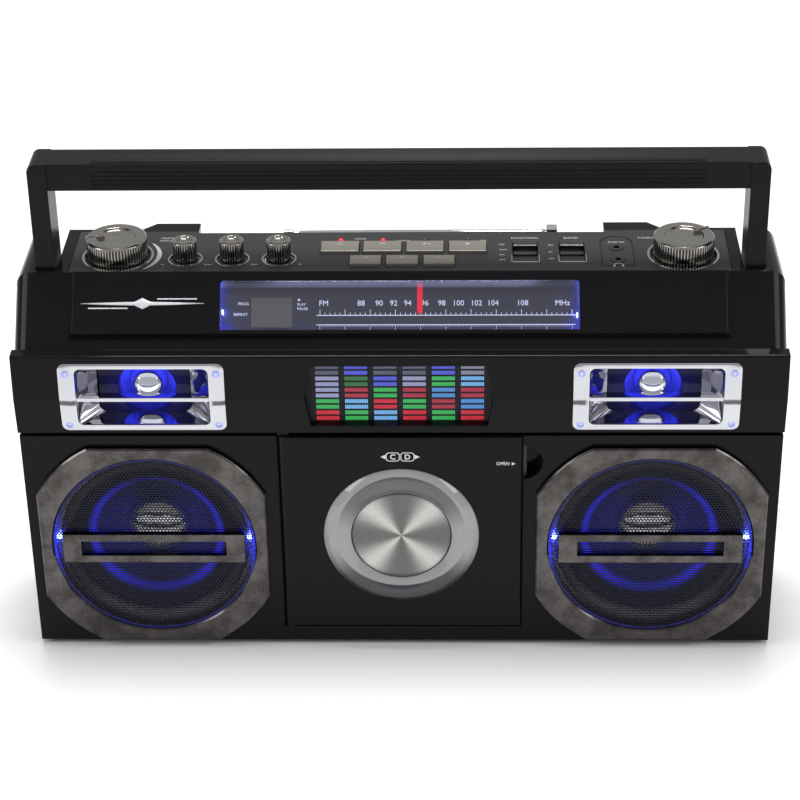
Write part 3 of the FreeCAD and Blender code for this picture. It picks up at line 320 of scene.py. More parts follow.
class Shade:
    # a material whose nodes are made by one method
    def __init__(self, name):
        self.material = bpy.data.materials.new(name)
        self.material.use_nodes = True
        self.tree = self.material.node_tree
        self.surface = self.tree.nodes["Principled BSDF"]

    def feed(self, socket, value):
        # a wire is linked and anything else is set on the socket
        if isinstance(value, Wire):
            self.tree.links.new(value.socket, socket)
        else:
            socket.default_value = value

    def node(self, kind, settings=None, inputs=None, output=0):
        # any node, by its type, settings, socket values or wires, and the output that is wanted
        made = self.tree.nodes.new(kind)
        for key, value in (settings or {}).items():
            setattr(made, key, value)
        for key, value in (inputs or {}).items():
            self.feed(made.inputs[key], value)
        return Wire(self, made.outputs[output])

    def put(self, **values):
        # values or wires for the surface's own sockets
        for key, value in values.items():
            self.feed(self.surface.inputs[socketNames[key]], value)

    def place(self):
        # position on the object, in metres
        return self.node("ShaderNodeTexCoord", output="Object")

    def xyz(self):
        # the three parts of the position, in millimetres
        coords = self.place()
        return [self.node("ShaderNodeSeparateXYZ", None, {0: coords}, axis) * (1 / mm) for axis in "XYZ"]

    def noise(self, size, detail=3.0):
        # cloudy variation whose features are about size millimetres across
        return self.node("ShaderNodeTexNoise", None, {"Vector": self.place(), "Scale": 1 / (size * mm),
                                                      "Detail": detail, "Roughness": 0.55})

    def mix(self, factor, first, second):
        # first (1 - factor) + second factor, channel by channel
        return self.node("ShaderNodeMix", {"data_type": "RGBA"}, {0: factor, 6: first, 7: second}, 2)

    def bump(self, height, depth, normal=None):
        # height from 0 to 1 stands for depth millimetres
        inputs = {"Height": height, "Strength": 1.0, "Distance": depth * mm}
        if normal is not None:
            inputs["Normal"] = normal
        return self.node("ShaderNodeBump", None, inputs)

    def rolled(self, radius):
        # edges rounded in the shading by that many millimetres
        return self.node("ShaderNodeBevel", {"samples": 4}, {"Radius": radius * mm})


def colour(red, green, blue):
    # an opaque colour from linear parts
    return (red, green, blue, 1)


finishes = {
    "glossBlack": {"base": (0.0048, 0.0048, 0.0055), "lift": 1.6, "rough": (0.04, 0.10), "spec": 0.11,
                   "grain": 90, "depth": 0.02, "roll": 0.7},
    "satinCharcoal": {"base": (0.024, 0.025, 0.025), "lift": 1.35, "rough": (0.40, 0.5), "spec": 0.22,
                      "grain": 0.35, "depth": 0.012, "roll": 0.5},
    "handleBlack": {"base": (0.0055, 0.0055, 0.0058), "lift": 1.5, "rough": (0.26, 0.38), "spec": 0.13,
                    "grain": 0.5, "depth": 0.015, "roll": 1.4},
    "gripBlack": {"base": (0.006, 0.006, 0.0062), "lift": 1.6, "rough": (0.38, 0.55), "spec": 0.13,
                  "grain": 0.4, "depth": 0.02, "roll": 0},
    "innerBlack": {"base": (0.010, 0.010, 0.011), "lift": 1.8, "rough": (0.40, 0.55),
                   "grain": 0.5, "depth": 0.02, "roll": 0.3},
    "footRubber": {"base": (0.018, 0.018, 0.018), "lift": 1.5, "rough": (0.65, 0.8),
                   "grain": 0.6, "depth": 0.04, "roll": 0.4},
    "champagne": {"base": (0.235, 0.220, 0.195), "lift": 1.25, "rough": (0.30, 0.40), "metal": 0.55,
                  "grain": 0.3, "depth": 0.006, "roll": 0.4},
    "gunmetal": {"base": (0.125, 0.115, 0.112), "lift": 1.25, "rough": (0.12, 0.22), "metal": 1.0,
                 "grain": 0.5, "depth": 0.004, "roll": 0.45},
    "dishMetal": {"base": (0.50, 0.49, 0.475), "lift": 1.15, "rough": (0.07, 0.14), "metal": 1.0,
                  "grain": 2.0, "depth": 0.01, "roll": 0.3},
    "chrome": {"base": (0.74, 0.75, 0.78), "lift": 1.08, "rough": (0.035, 0.09), "metal": 1.0,
               "grain": 30, "depth": 0.01, "roll": 0},
    "hornScrew": {"base": (0.32, 0.38, 0.92), "lift": 1.08, "rough": (0.10, 0.2), "metal": 1.0,
                  "grain": 0.8, "depth": 0.01, "roll": 0.1},
    "screwSteel": {"base": (0.50, 0.50, 0.53), "lift": 1.2, "rough": (0.16, 0.28), "metal": 1.0,
                   "grain": 0.6, "depth": 0.01, "roll": 0.2},
    "driverSteel": {"base": (0.22, 0.22, 0.24), "lift": 1.3, "rough": (0.3, 0.5), "metal": 0.9,
                    "grain": 1.0, "depth": 0.02, "roll": 0.3},
    "circuitGreen": {"base": (0.01, 0.10, 0.04), "lift": 1.6, "rough": (0.3, 0.45), "coat": 0.1,
                     "grain": 4, "depth": 0.03, "roll": 0},
    "doorPrint": {"base": (0.72, 0.72, 0.75), "lift": 1.15, "rough": (0.45, 0.6),
                  "grain": 0.5, "depth": 0.004, "roll": 0},
    "ornamentPlate": {"base": (0.66, 0.66, 0.70), "lift": 1.2, "rough": (0.22, 0.34), "metal": 0.35,
                      "grain": 0.5, "depth": 0.004, "roll": 0.1},
    "print": {"base": (0.36, 0.36, 0.38), "lift": 1.2, "rough": (0.45, 0.6),
              "grain": 0.5, "depth": 0.004, "roll": 0},
}


def plainFinish(name):
    # a moulded or plated finish: colour runs from base to base times lift with 0.6 broad + 0.4 fine cloud,
    # gloss runs over its range with half of each, and grain and rounded edges bend the light
    look = finishes[name]
    shade = Shade(name)
    cloud = shade.noise(22, 4)
    fine = shade.noise(2.5, 2)
    dark = colour(*look["base"])
    light = colour(*(channel * look["lift"] for channel in look["base"]))
    shade.put(base=shade.mix(cloud * 0.6 + fine * 0.4, dark, light))
    low, high = look["rough"]
    shade.put(rough=(cloud * 0.5 + fine * 0.5) * (high - low) + low)
    shade.put(metal=look.get("metal", 0.0), coat=look.get("coat", 0.0), spec=look.get("spec", 0.5))
    edge = shade.rolled(look["roll"]) if look["roll"] else None
    shade.put(normal=shade.bump(shade.noise(look["grain"], 2), look["depth"], edge))
    return shade.material


print("stage: frame loaded, making finishes")
finish = {name: plainFinish(name) for name in finishes}


def printedGlow():
    # dial lettering that is lit from behind
    shade = Shade("litPrint")
    cloud = shade.noise(6, 2)
    shade.put(base=shade.mix(cloud, colour(0.6, 0.62, 0.7), colour(0.75, 0.77, 0.85)), rough=0.5)
    shade.put(glow=shade.mix(cloud, colour(0.62, 0.66, 0.86), colour(0.8, 0.84, 1.0)), power=0.75)
    return shade.material


def dialBack():
    # grey plate behind haze with painted light: it glows a faint grey all over, and blue close to both ends
    # and along its lower corners
    shade = Shade("dialBack")
    x, y, z = shade.xyz()
    ends = (x - 0.5).calc("ABSOLUTE").band(86, 101)
    low = (z * -1).band(-206.5, -202)
    grain = shade.noise(0.6, 2)
    shade.put(base=shade.mix(grain, colour(0.030, 0.030, 0.034), colour(0.044, 0.044, 0.050)), rough=0.42)
    # painted light: the blue glow of the dial lamps, over a faint grey glow everywhere
    blue = (ends ** 3 * 0.34 + ends * low * 0.35 + low * 0.03) * (0.7 + grain * 0.6)
    shade.put(glow=shade.mix(blue, colour(0.042, 0.042, 0.050), colour(0.03, 0.05, 0.95)), power=1.0)
    shade.put(normal=shade.bump(grain, 0.01))
    return shade.material


def displayGrey():
    # unlit display glass over faint digit shapes, with a faint grey glow that is painted light
    shade = Shade("displayGrey")
    cells = shade.noise(1.5, 1)
    shade.put(base=shade.mix(cells, colour(0.060, 0.055, 0.052), colour(0.085, 0.078, 0.074)))
    shade.put(rough=shade.noise(3, 2) * 0.1 + 0.22, coat=0.4)
    # painted light: the unlit glass glows a faint grey
    shade.put(glow=shade.mix(cells, colour(0.075, 0.066, 0.068), colour(0.095, 0.085, 0.088)), power=1.0)
    return shade.material


def pointerRed():
    # clear red plastic lit from within
    shade = Shade("pointerRed")
    cloud = shade.noise(3, 2)
    shade.put(base=shade.mix(cloud, colour(0.55, 0.02, 0.03), colour(0.75, 0.04, 0.05)), rough=0.3)
    shade.put(glow=shade.mix(cloud, colour(0.75, 0.02, 0.05), colour(0.95, 0.05, 0.09)), power=0.75)
    return shade.material


def clearSheet(name, tint, through, edgeLit=False):
    # thin clear moulding: what is not mirrored passes through; its rim carries light from the lamps
    shade = Shade(name)
    cloud = shade.noise(40, 2)
    shade.put(base=colour(*tint), rough=cloud * 0.05 + 0.02, metal=0.0, coat=1.0)
    clear = shade.node("ShaderNodeBsdfTransparent", None, {"Color": colour(*through)})
    share = shade.node("ShaderNodeFresnel", None, {"IOR": 1.45})
    factor = share * 0.6 + 0.02
    if edgeLit:
        x, y, z = shade.xyz()
        side = (x - 0.5).calc("ABSOLUTE").band(95.4, 98.2)
        upper = z.band(222.5, 223.3)
        lower = (z * -1).band(-204.6, -203.2)
        patches = shade.noise(38, 1).band(0.40, 0.60)
        rim = side * 0.5 + upper * (0.22 + patches * 0.4) + lower * 0.3
        violet = shade.mix(side, colour(0.34, 0.34, 0.62), colour(0.04, 0.08, 0.9))
        shade.put(glow=shade.mix(rim, colour(0, 0, 0.004), violet), power=1.0)
        factor = factor + rim * 0.5
    blend = shade.node("ShaderNodeMixShader", None,
                       {0: factor, 1: clear, 2: Wire(shade, shade.surface.outputs[0])})
    output = [node for node in shade.tree.nodes if node.type == "OUTPUT_MATERIAL"][0]
    shade.feed(output.inputs["Surface"], blend)
    return shade.material


def bezelMetal():
    # dark mirror plating that has clouded in soft patches
    shade = Shade("bezelMetal")
    patch = shade.noise(13, 5)
    speck = shade.noise(1.6, 3)
    worn = (patch * 0.75 + speck * 0.25).band(0.36, 0.66)
    shade.put(base=shade.mix(worn, colour(0.052, 0.048, 0.046), colour(0.118, 0.108, 0.105)), metal=1.0)
    shade.put(rough=speck * 0.1 + 0.1)
    shade.put(normal=shade.bump(speck, 0.006, shade.rolled(0.5)))
    return shade.material


def redLamps():
    # the two left lamps are lit, the two right ones are dark
    shade = Shade("statusLamp")
    x, y, z = shade.xyz()
    lit = (x * -1).band(-1, 1)
    core = shade.noise(1.2, 1)
    shade.put(base=shade.mix(lit, colour(0.03, 0.005, 0.006), colour(0.45, 0.01, 0.012)))
    shade.put(rough=core * 0.1 + 0.15)
    glowing = shade.mix(core, colour(0.80, 0.0, 0.008), colour(1.0, 0.012, 0.02))
    shade.put(glow=shade.mix(lit, colour(0.01, 0.0, 0.0), glowing), power=1.0)
    return shade.material


def tintedBars():
    # lit bars: colour from the mesh, with darker rims between the cells
    shade = Shade("levelBars")
    tint = shade.node("ShaderNodeAttribute", {"attribute_name": "tint"}, None, "Color")
    fine = shade.noise(0.8, 2)
    shade.put(base=shade.mix(0.85, tint, colour(0.02, 0.02, 0.02)), rough=fine * 0.2 + 0.3)
    shade.put(glow=shade.mix(fine * 0.2, tint, colour(0.02, 0.02, 0.03)), power=1.2)
    return shade.material


def wooferBlue(name, rings, dark, power, centreX, centreZ, rough=0.4, pale=0.0):
    # pressed cone lit from both sides: each ring gives strength (1 - |distance - middle| / width), times a
    # share that grows towards both sides; pale lightens the lowest part with a painted highlight
    shade = Shade(name)
    x, y, z = shade.xyz()
    dx, dz = x - centreX, z - centreZ
    distance = (dx * dx + dz * dz).calc("SQRT")
    sides = (dx.calc("ABSOLUTE") / (distance + 0.5)).band(0.15, 1.0)
    light = None
    for middle, width, strength in rings:
        part = (1 - ((distance - middle).calc("ABSOLUTE")).band(0, width)) * strength
        light = part if light is None else light + part
    lower = (dz * -1).band(10, 40) * 0.3
    light = light * (0.16 + sides * 0.8 + lower) * (0.6 + shade.noise(4, 3) * 0.8)
    rubber = shade.mix(shade.noise(1.2, 3), colour(*dark), colour(*(c * 1.7 for c in dark)))
    # painted highlight: the lowest part is drawn towards pale grey
    lowHighlight = (dz * -1).band(26, 46) * pale
    shade.put(base=shade.mix(lowHighlight, rubber, colour(0.30, 0.30, 0.31)))
    shade.put(rough=shade.noise(2, 2) * 0.2 + rough)
    shade.put(glow=shade.mix(light, colour(0.001, 0.001, 0.006), colour(0.03, 0.03, 1.0)), power=power)
    shade.put(normal=shade.bump(shade.noise(0.8, 3), 0.05))
    return shade.material


def meshBlack(name, centreX, centreZ):
    # perforated steel: black paint, with painted blue lamp light glowing where |x| - 0.42 |z| is large,
    # beside the lamps, and on the rim
    shade = Shade(name)
    x, y, z = shade.xyz()
    dx, dz = x - centreX, z - centreZ
    distance = (dx * dx + dz * dz).calc("SQRT")
    rim = distance.band(55.0, 57.8) * shade.noise(1.2, 2).band(0.4, 0.6)
    side = (dx.calc("ABSOLUTE") + (dz - 3).calc("ABSOLUTE") * -0.42).band(41, 56)
    worn = shade.noise(1.0, 2)
    shade.put(base=shade.mix(worn, colour(0.010, 0.010, 0.011), colour(0.020, 0.020, 0.022)))
    shade.put(rough=worn * 0.15 + 0.24, metal=0.4, spec=0.3)
    # painted light: glints of the blue lamps on the mesh beside them, and a faint glow on the rim
    lampGlints = shade.noise(1.5, 2).band(0.35, 0.75)
    shade.put(glow=shade.mix(side * side * lampGlints * 0.9 + rim * (0.10 + side * 0.3), colour(0, 0, 0.002),
                             colour(0.02, 0.03, 1.0)), power=1.6)
    shade.put(normal=shade.bump(worn, 0.01))
    return shade.material


def lampBlue():
    # a lamp too bright to show its own colour at the middle
    shade = Shade("lampBlue")
    core = shade.noise(3, 1)
    shade.put(base=colour(0.2, 0.3, 1.0), rough=core * 0.1 + 0.2)
    shade.put(glow=shade.mix(core, colour(0.06, 0.12, 1.0), colour(0.25, 0.40, 1.0)), power=22.0)
    return shade.material


def throatBlue(centres, centreZ):
    # driver plate: dark navy, glowing between two radii round the dome, more with height
    shade = Shade("throatBlue")
    x, y, z = shade.xyz()
    dx, dz = x.calc("ABSOLUTE") - centres, z - centreZ
    distance = (dx * dx + dz * dz).calc("SQRT")
    funnel = (1 - distance.band(14.6, 16.2)) * distance.band(9.5, 12.5)
    haze = (1 - distance.band(15, 27)) * 0.035
    upper = dz.band(-14, 9)
    cloud = shade.noise(4.5, 3)
    shade.put(base=shade.mix(cloud, colour(0.004, 0.004, 0.016), colour(0.010, 0.010, 0.040)))
    shade.put(rough=cloud * 0.1 + 0.08, spec=0.15)
    light = (funnel * (0.16 + upper * 0.62) + haze) * (0.35 + cloud * 1.2)
    shade.put(glow=shade.mix(light, colour(0.0015, 0.001, 0.010), colour(0.04, 0.05, 1.0)), power=1.35)
    return shade.material


def hornChrome():
    # bright plating with a painted dark reflection streaked along the crease: three bands, of height, side
    # and depth, multiplied
    shade = Shade("hornChrome")
    x, y, z = shade.xyz()
    wobble = shade.noise(9, 3)
    # painted reflection: a dark streak along the crease, on the front of the flange
    streak = 1 - (z - 168.2 + wobble * 3).calc("ABSOLUTE").band(0.7, 2.2)
    outer = x.calc("ABSOLUTE")
    place = (outer.band(176.5, 178.5) + 1 - outer.band(101.5, 104.0))
    front = (y * -1).band(48.6, 49.4)
    darkReflection = streak * place * front
    cloud = shade.noise(25, 2)
    plate = shade.mix(cloud, colour(0.52, 0.52, 0.56), colour(0.66, 0.66, 0.70))
    shade.put(base=shade.mix(darkReflection * 0.85, plate, colour(0.03, 0.03, 0.04)))
    shade.put(metal=1.0, rough=cloud * 0.06 + 0.03)
    shade.put(normal=shade.bump(shade.noise(30, 2), 0.02))
    return shade.material


def ringGrey(centreZ):
    # milky ring with painted light and shade: brightness follows how far each slope turns up; the crest runs
    # wider above than below
    shade = Shade("ringGrey")
    x, y, z = shade.xyz()
    dz = z - centreZ
    distance = (x * x + dz * dz).calc("SQRT")
    height = dz / (distance + 0.1)
    outward = (distance - 36.6 - height * 4.8).band(-1.5, 1.5)
    # painted light and shade: slopes that turn up take the pale colour, slopes that turn down the dark one
    lit = (height * (outward * 2 - 1)).band(-0.75, -0.1)
    # painted light on the lips: both lips are drawn half way to a middle grey
    rim = (1 - distance.band(28.9, 29.6)) + distance.band(43.4, 43.9)
    cloud = shade.noise(14, 3)
    pale = shade.mix(cloud, colour(0.31, 0.31, 0.32), colour(0.37, 0.37, 0.385))
    dark = shade.mix(outward, colour(0.105, 0.105, 0.108), colour(0.030, 0.030, 0.038))
    body = shade.mix(lit, dark, pale)
    shade.put(base=shade.mix(rim * 0.5, body, colour(0.28, 0.28, 0.30)))
    shade.put(rough=cloud * 0.06 + 0.08, coat=0.3)
    shade.put(normal=shade.bump(shade.noise(30, 2), 0.02))
    return shade.material


def spunAluminium(centreZ):
    # turned metal: fine rings by distance, and four painted highlight fans that follow |cos(2 angle +
    # pi/2)|^4
    shade = Shade("spunAluminium")
    x, y, z = shade.xyz()
    dz = z - centreZ
    distance = (x * x + dz * dz).calc("SQRT")
    angle = dz.calc("ARCTAN2", x)
    highlightFans = (angle * 2 + pi / 2).calc("COSINE").calc("ABSOLUTE")
    streak = shade.node("ShaderNodeTexNoise", {"noise_dimensions": "1D"},
                        {"W": angle * 22, "Scale": 1.0, "Detail": 4.0})
    speck = shade.noise(0.9, 2)
    highlightFans = (highlightFans ** 4) * (0.5 + streak * 0.4 + speck * 0.5)
    grooves = shade.node("ShaderNodeTexNoise", {"noise_dimensions": "1D"},
                         {"W": distance * 5.5, "Scale": 1.0, "Detail": 3.0})
    body = shade.mix(grooves * 0.6 + speck * 0.4, colour(0.085, 0.085, 0.083), colour(0.19, 0.188, 0.182))
    # painted highlight: the fans draw the colour towards a bright metal shade
    bright = shade.mix(grooves, colour(0.44, 0.435, 0.42), colour(0.62, 0.61, 0.59))
    shade.put(base=shade.mix(highlightFans, body, bright), metal=1.0, rough=grooves * 0.14 + 0.26)
    shade.put(normal=shade.bump(grooves, 0.03))
    return shade.material


def ledBoard():
    # black lacquered board behind the bars
    shade = Shade("levelBoard")
    grain = shade.noise(1.0, 2)
    shade.put(base=shade.mix(grain, colour(0.006, 0.006, 0.008), colour(0.012, 0.012, 0.016)), rough=0.6)
    return shade.material


def wear(name, material):
    # a CAD node keeps its mesh and takes this material
    for slot in cad[name].material_slots:
        slot.material = material


cadLooks = {
    "glossBlack": ["front_cabinet", "rear_cabinet", "tweeter_band", "dial_fascia", "cd_door", "battery_door"],
    "satinCharcoal": ["top_panel"],
    "dishMetal": ["control_dishes"],
    "handleBlack": ["handle_frame"],
    "champagne": [word + "_button"
                  for word in ("power", "mode", "play", "stop", "previous", "next", "repeat")],
    "innerBlack": ["audio_jacks", "cd_tray", "cd_turntable", "laser_sled", "power_inlet", "antenna_clip"],
    "footRubber": ["feet"],
    "chrome": ["antenna_knuckle"],
    "screwSteel": ["rear_screws", "battery_contacts"],
    "driverSteel": ["woofer_drivers", "control_pots", "handle_pivots", "cd_hinge_pin"],
    "circuitGreen": ["main_board"],
}


def dressCad():
    # nodes that keep their CAD shape get a plain finish or one of their own
    for finishName, names in cadLooks.items():
        for name in names:
            wear(name, finish[finishName])
    mottled = bezelMetal()
    wear("woofer_bezels", mottled)
    wear("grille_bars", mottled)
    wear("dial_scale", dialBack())
    wear("track_display", displayGrey())
    wear("dial_pointer", pointerRed())
    wear("status_leds", redLamps())
    wear("eq_board", ledBoard())
    wear("eq_window", clearSheet("smokedWindow", (0.01, 0.01, 0.012), (0.92, 0.92, 0.94)))


woofer = {
    "pitch": 1.9, "hole": 0.76, "thick": 0.6, "rimIn": 56.2,  # grille
    "cone": [(46.5, 37.2), (46.5, 38.5), (38.5, 33.4), (17.2, 19.9), (15.9, 19.3), (15.4, 18.6), (12.7, 16.9),
             (12.7, 3.0), (11.7, 3.0), (11.7, 15.6), (46.5, 37.2)],  # radius and depth pairs
    "cap": [(0, 28.7), (6, 28.4), (12.6, 27.2), (17.2, 24.6), (17.3, 19.9), (15.6, 19.0), (14.6, 23.4),
            (0, 26.8)],
    "rollFrom": 46.9, "rollTo": 55.0, "rollFoot": 38.9, "rollRise": 2.6,
    "flange": [(57.5, 39.1), (59.9, 39.1), (59.9, 40.6), (61.5, 40.6), (61.5, 40.45), (60.4, 38.4),
               (54.0, 38.2)],
    "coneRings": [(36.9, 3.6, 0.95), (28, 14, 0.15), (20, 5, 0.12)],  # middle, width, strength
    "rimRings": [(57.0, 3.0, 0.5)],
    "lampAt": 54.6, "lampSize": 1.7, "lampUp": 4, "lampDepth": -42.3,
}


def perforatedSheet(radius, pitch, hole, depth, thick):
    # hexagons of side pitch / sqrt 3 on a triangular lattice, odd rows half a pitch along; each one is a
    # frame round a hole that is a fixed share of it, with walls and a back
    size = pitch / sqrt(3)
    rows = np.arange(-int(radius / (1.5 * size)) - 1, int(radius / (1.5 * size)) + 2)
    cols = np.arange(-int(radius / pitch) - 1, int(radius / pitch) + 2)
    row, col = np.meshgrid(rows, cols, indexing="ij")
    cx = (col + 0.5 * (row % 2)) * pitch
    cz = row * 1.5 * size
    inside = np.hypot(cx, cz) < radius - size * 1.05
    cx, cz = cx[inside], cz[inside]
    angle = pi / 6 + np.arange(6) * pi / 3
    ringX, ringZ = np.cos(angle) * size, np.sin(angle) * size
    layers = []
    for share, level in ((1, 0), (hole, 0), (hole, thick), (1, thick)):
        x = cx[:, None] + ringX * share
        z = cz[:, None] + ringZ * share
        layers.append(np.stack([x, np.full_like(x, depth + level), z], axis=-1))
    points = np.stack(layers, axis=1).reshape(-1, 3)
    cells = np.arange(len(cx))[:, None, None, None] * 24
    layer = np.arange(3)[None, :, None, None] * 6
    step = np.arange(6)[None, None, :, None]
    quad = np.concatenate([cells + layer + step, cells + layer + (step + 1) % 6,
                           cells + layer + 6 + (step + 1) % 6, cells + layer + 6 + step], axis=-1)
    return weld((points, quad.reshape(-1, 4).tolist()))


def buildWoofer(word):
    # cone and cap ride on the cone's body; grille, surround and lamps stay with the cabinet
    low, high = nodeBox(word + "_woofer_cone")
    cx, cz = (low[0] + high[0]) / 2, (low[2] + high[2]) / 2
    grilleLow, grilleHigh = nodeBox("woofer_grilles")
    front, back = grilleLow[1], grilleHigh[1]
    radius = (grilleHigh[2] - grilleLow[2]) / 2
    centre = (cx, 0, cz)
    sheet = moved(perforatedSheet(radius, woofer["pitch"], woofer["hole"], front, woofer["thick"]), cx, 0, cz)
    rim = latheShape([(radius, -back), (radius, -front), (woofer["rimIn"], -front + 0.02),
                      (woofer["rimIn"], -back), (radius, -back)], centre, "front", 96)
    makePiece(word + "_grille_mesh", joinShapes([sheet, rim]), meshBlack(word + "Mesh", cx, cz),
              replaces=["woofer_grilles"])
    makePiece(word + "_cone_skin", latheShape(softLine(woofer["cone"], 0.8, 3), centre, "front", 96),
              wooferBlue(word + "Cone", woofer["coneRings"], (0.006, 0.006, 0.016), 1.0, cx, cz),
              body=word + "_woofer_cone", replaces=[word + "_woofer_cone"])
    makePiece(word + "_dust_cap", latheShape(softLine(woofer["cap"], 1.8, 4), centre, "front", 72),
              domeSilver, body=word + "_woofer_cone")
    # half roll of the surround: an arc from rollFrom to rollTo
    start, stop, foot = woofer["rollFrom"], woofer["rollTo"], woofer["rollFoot"]
    middle, half = (start + stop) / 2, (stop - start) / 2
    roll = [(middle - half * cos(a), foot + woofer["rollRise"] * sin(a)) for a in np.linspace(0, pi, 13)]
    line = [(start, foot - 0.3)] + roll + woofer["flange"] + [(start, foot - 0.5)]
    rubber = wooferBlue(word + "Surround", woofer["rimRings"], (0.030, 0.029, 0.028), 0.9, cx, cz, 0.16, 0.8)
    makePiece(word + "_surround", latheShape(line, centre, "front", 96), rubber)
    size = woofer["lampSize"]
    ball = [(0, size)] + [(size * sin(a), size * cos(a)) for a in np.linspace(0, pi, 9)[1:-1]] + [(0, -size)]
    lamps = [latheShape(ball, (cx + side * woofer["lampAt"], woofer["lampDepth"], cz + woofer["lampUp"]),
                        "front", 16) for side in (-1, 1)]
    makePiece(word + "_woofer_lamps", joinShapes(lamps), lampMaterial)


horn = {"corner": 4.0, "mouthCorner": 3.2, "throatCorner": 5.0, "marginIn": 9.1, "marginOut": 9.5,
        "marginLow": 4.0, "marginHigh": 3.6, "throatSide": 10.0, "throatLow": 1.5, "throatHigh": 3.5,
        "dishRadius": 16.2, "domeRadius": 10.6, "vane": 2.6}


def plateFace(z):
    # depth of the plated flange at a height: it falls by 2.3 up to the crease and comes back by 1.8 above it
    crease, low, high = 168.5, bandLow[2], bandHigh[2]
    below = -47.7 - 2.3 * (z - low) / (crease - low)
    above = -50.0 + 1.8 * (z - crease) / (high - crease)
    return np.where(z < crease, below, above)


def buildHorn(word):
    # flange, mouth and throat as one skin of rounded rectangles, each a share of the way from mouth to throat
    low, high = nodeBox(word + "_tweeter_horn")
    side = -1 if word == "left" else 1
    inner, outer = (horn["marginIn"], horn["marginOut"])
    left, right = (outer, inner) if side < 0 else (inner, outer)
    throatY = high[1]
    flange = (low[0], high[0], low[2], high[2])
    mouth = (low[0] + left, high[0] - right, low[2] + horn["marginLow"], high[2] - horn["marginHigh"])
    throat = (mouth[0] + horn["throatSide"], mouth[1] - horn["throatSide"] - 1,
              mouth[2] + horn["throatLow"], mouth[3] - horn["throatHigh"])

    def loop(rect, corner, depth, share=0.0):
        # a rounded rectangle at depth behind the flange, drawn towards the throat by share
        ring = roundRect(*rect, corner, 6, 8)
        face = plateFace(ring[:, 1]) + depth
        y = face * (1 - share) + throatY * share
        return np.column_stack([ring[:, 0], y, ring[:, 1]])

    def inset(rect, amount):
        # every side moved inwards
        return (rect[0] + amount, rect[1] - amount, rect[2] + amount, rect[3] - amount)

    loops = [loop(inset(mouth, -1.4), 3.4, 1.6), loop(flange, horn["corner"], 1.0)]
    loops += [loop(inset(flange, 0.15), horn["corner"], 0.3),
              loop(inset(flange, 0.6), horn["corner"] - 0.3, 0.02)]
    loops += [loop(inset(mouth, -1.0), 3.8, 0.02), loop(inset(mouth, -0.3), 3.4, 0.25)]
    for step in np.linspace(0, 1, 10):
        ease = step ** 1.15
        rect = tuple(a + (b - a) * ease for a, b in zip(mouth, throat))
        corner = horn["mouthCorner"] + (horn["throatCorner"] - horn["mouthCorner"]) * step
        loops.append(loop(rect, corner, 0.9 * (1 - step), step))
    back = tuple(a + (b - a) * 0.35 for a, b in zip(inset(mouth, -1.4), inset(throat, -1.4)))
    loops += [loop(inset(throat, -1.3), horn["throatCorner"], 0, 1.0), loop(back, 4, 0.9, 0.35)]
    skin = weld(loftShape(loops + [loops[0]], False, False))
    bladeZ = (mouth[2] + mouth[3]) / 2 - 1.5
    half = horn["vane"] / 2
    profile = softLine([(-48.7, bladeZ - half), (-48.7, bladeZ + half), (-41.2, bladeZ + 0.5),
                        (-41.2, bladeZ - 0.5)], 0.6, 3, closed=True)
    ends = []
    for edge, inward in ((mouth[0], 1), (mouth[1], -1)):
        slant = (profile[:, 0] + 48.5) / (throatY + 48.5) * horn["throatSide"] * 0.86
        ends.append(np.column_stack([edge + inward * slant, profile]))
    makePiece(word + "_horn_skin", joinShapes([skin, loftShape(ends)]), hornPlate,
              replaces=[word + "_tweeter_horn"])
    return throat, throatY


def buildDriver(word, throat, throatY):
    # dome, groove and funnel turned as one line, then a plate from the funnel's rim out to the throat:
    # the rim lies at min(halfX / |cos a|, halfZ / |sin a|)
    low, high = nodeBox("tweeter_drivers")
    centreX = (-1 if word == "left" else 1) * 140
    centreZ = (low[2] + high[2]) / 2
    front = -throatY - 0.15
    dome = [(horn["domeRadius"] * sin(a), front - 9.6 + horn["domeRadius"] * cos(a))
            for a in np.linspace(0, pi / 2, 14)]
    dome[0] = (0, dome[0][1])
    dish = dome + [(11.0, front - 9.8), (11.6, front - 9.8), (11.8, front - 10.6), (12.6, front - 11),
                   (14.4, front - 8), (15.4, front - 3), (horn["dishRadius"], front - 0.3)]
    dishShape = latheShape(dish, (centreX, 0, centreZ), "front", 64)
    count = 64
    angle = np.linspace(0, 2 * pi, count, endpoint=False)
    circle = np.column_stack([centreX + horn["dishRadius"] * np.cos(angle), np.full(count, -front + 0.3),
                              centreZ + horn["dishRadius"] * np.sin(angle)])
    halfX, halfZ = (throat[1] - throat[0]) / 2 + 0.6, (throat[3] - throat[2]) / 2 + 1.2
    reach = np.minimum(halfX / np.maximum(np.abs(np.cos(angle)), 1e-6),
                       halfZ / np.maximum(np.abs(np.sin(angle)), 1e-6))
    rimX = np.clip(centreX + reach * np.cos(angle), throat[0] - 0.6, throat[1] + 0.6)
    rim = np.column_stack([rimX, np.full(count, -front), centreZ + reach * np.sin(angle)])
    behind = rim + np.array([0, 16.0, 0])
    plate = loftShape([circle, rim, behind], False, True)
    makePiece(word + "_driver_plate", weld(joinShapes([dishShape, plate])), throatMaterial,
              replaces=["tweeter_drivers"])
    shell = [(r, h + 0.12) for r, h in dome] + [(10.8, front - 10.0), (0, front - 10.3)]
    makePiece(word + "_driver_dome", latheShape(shell, (centreX, 0, centreZ), "front", 64), domeChrome)


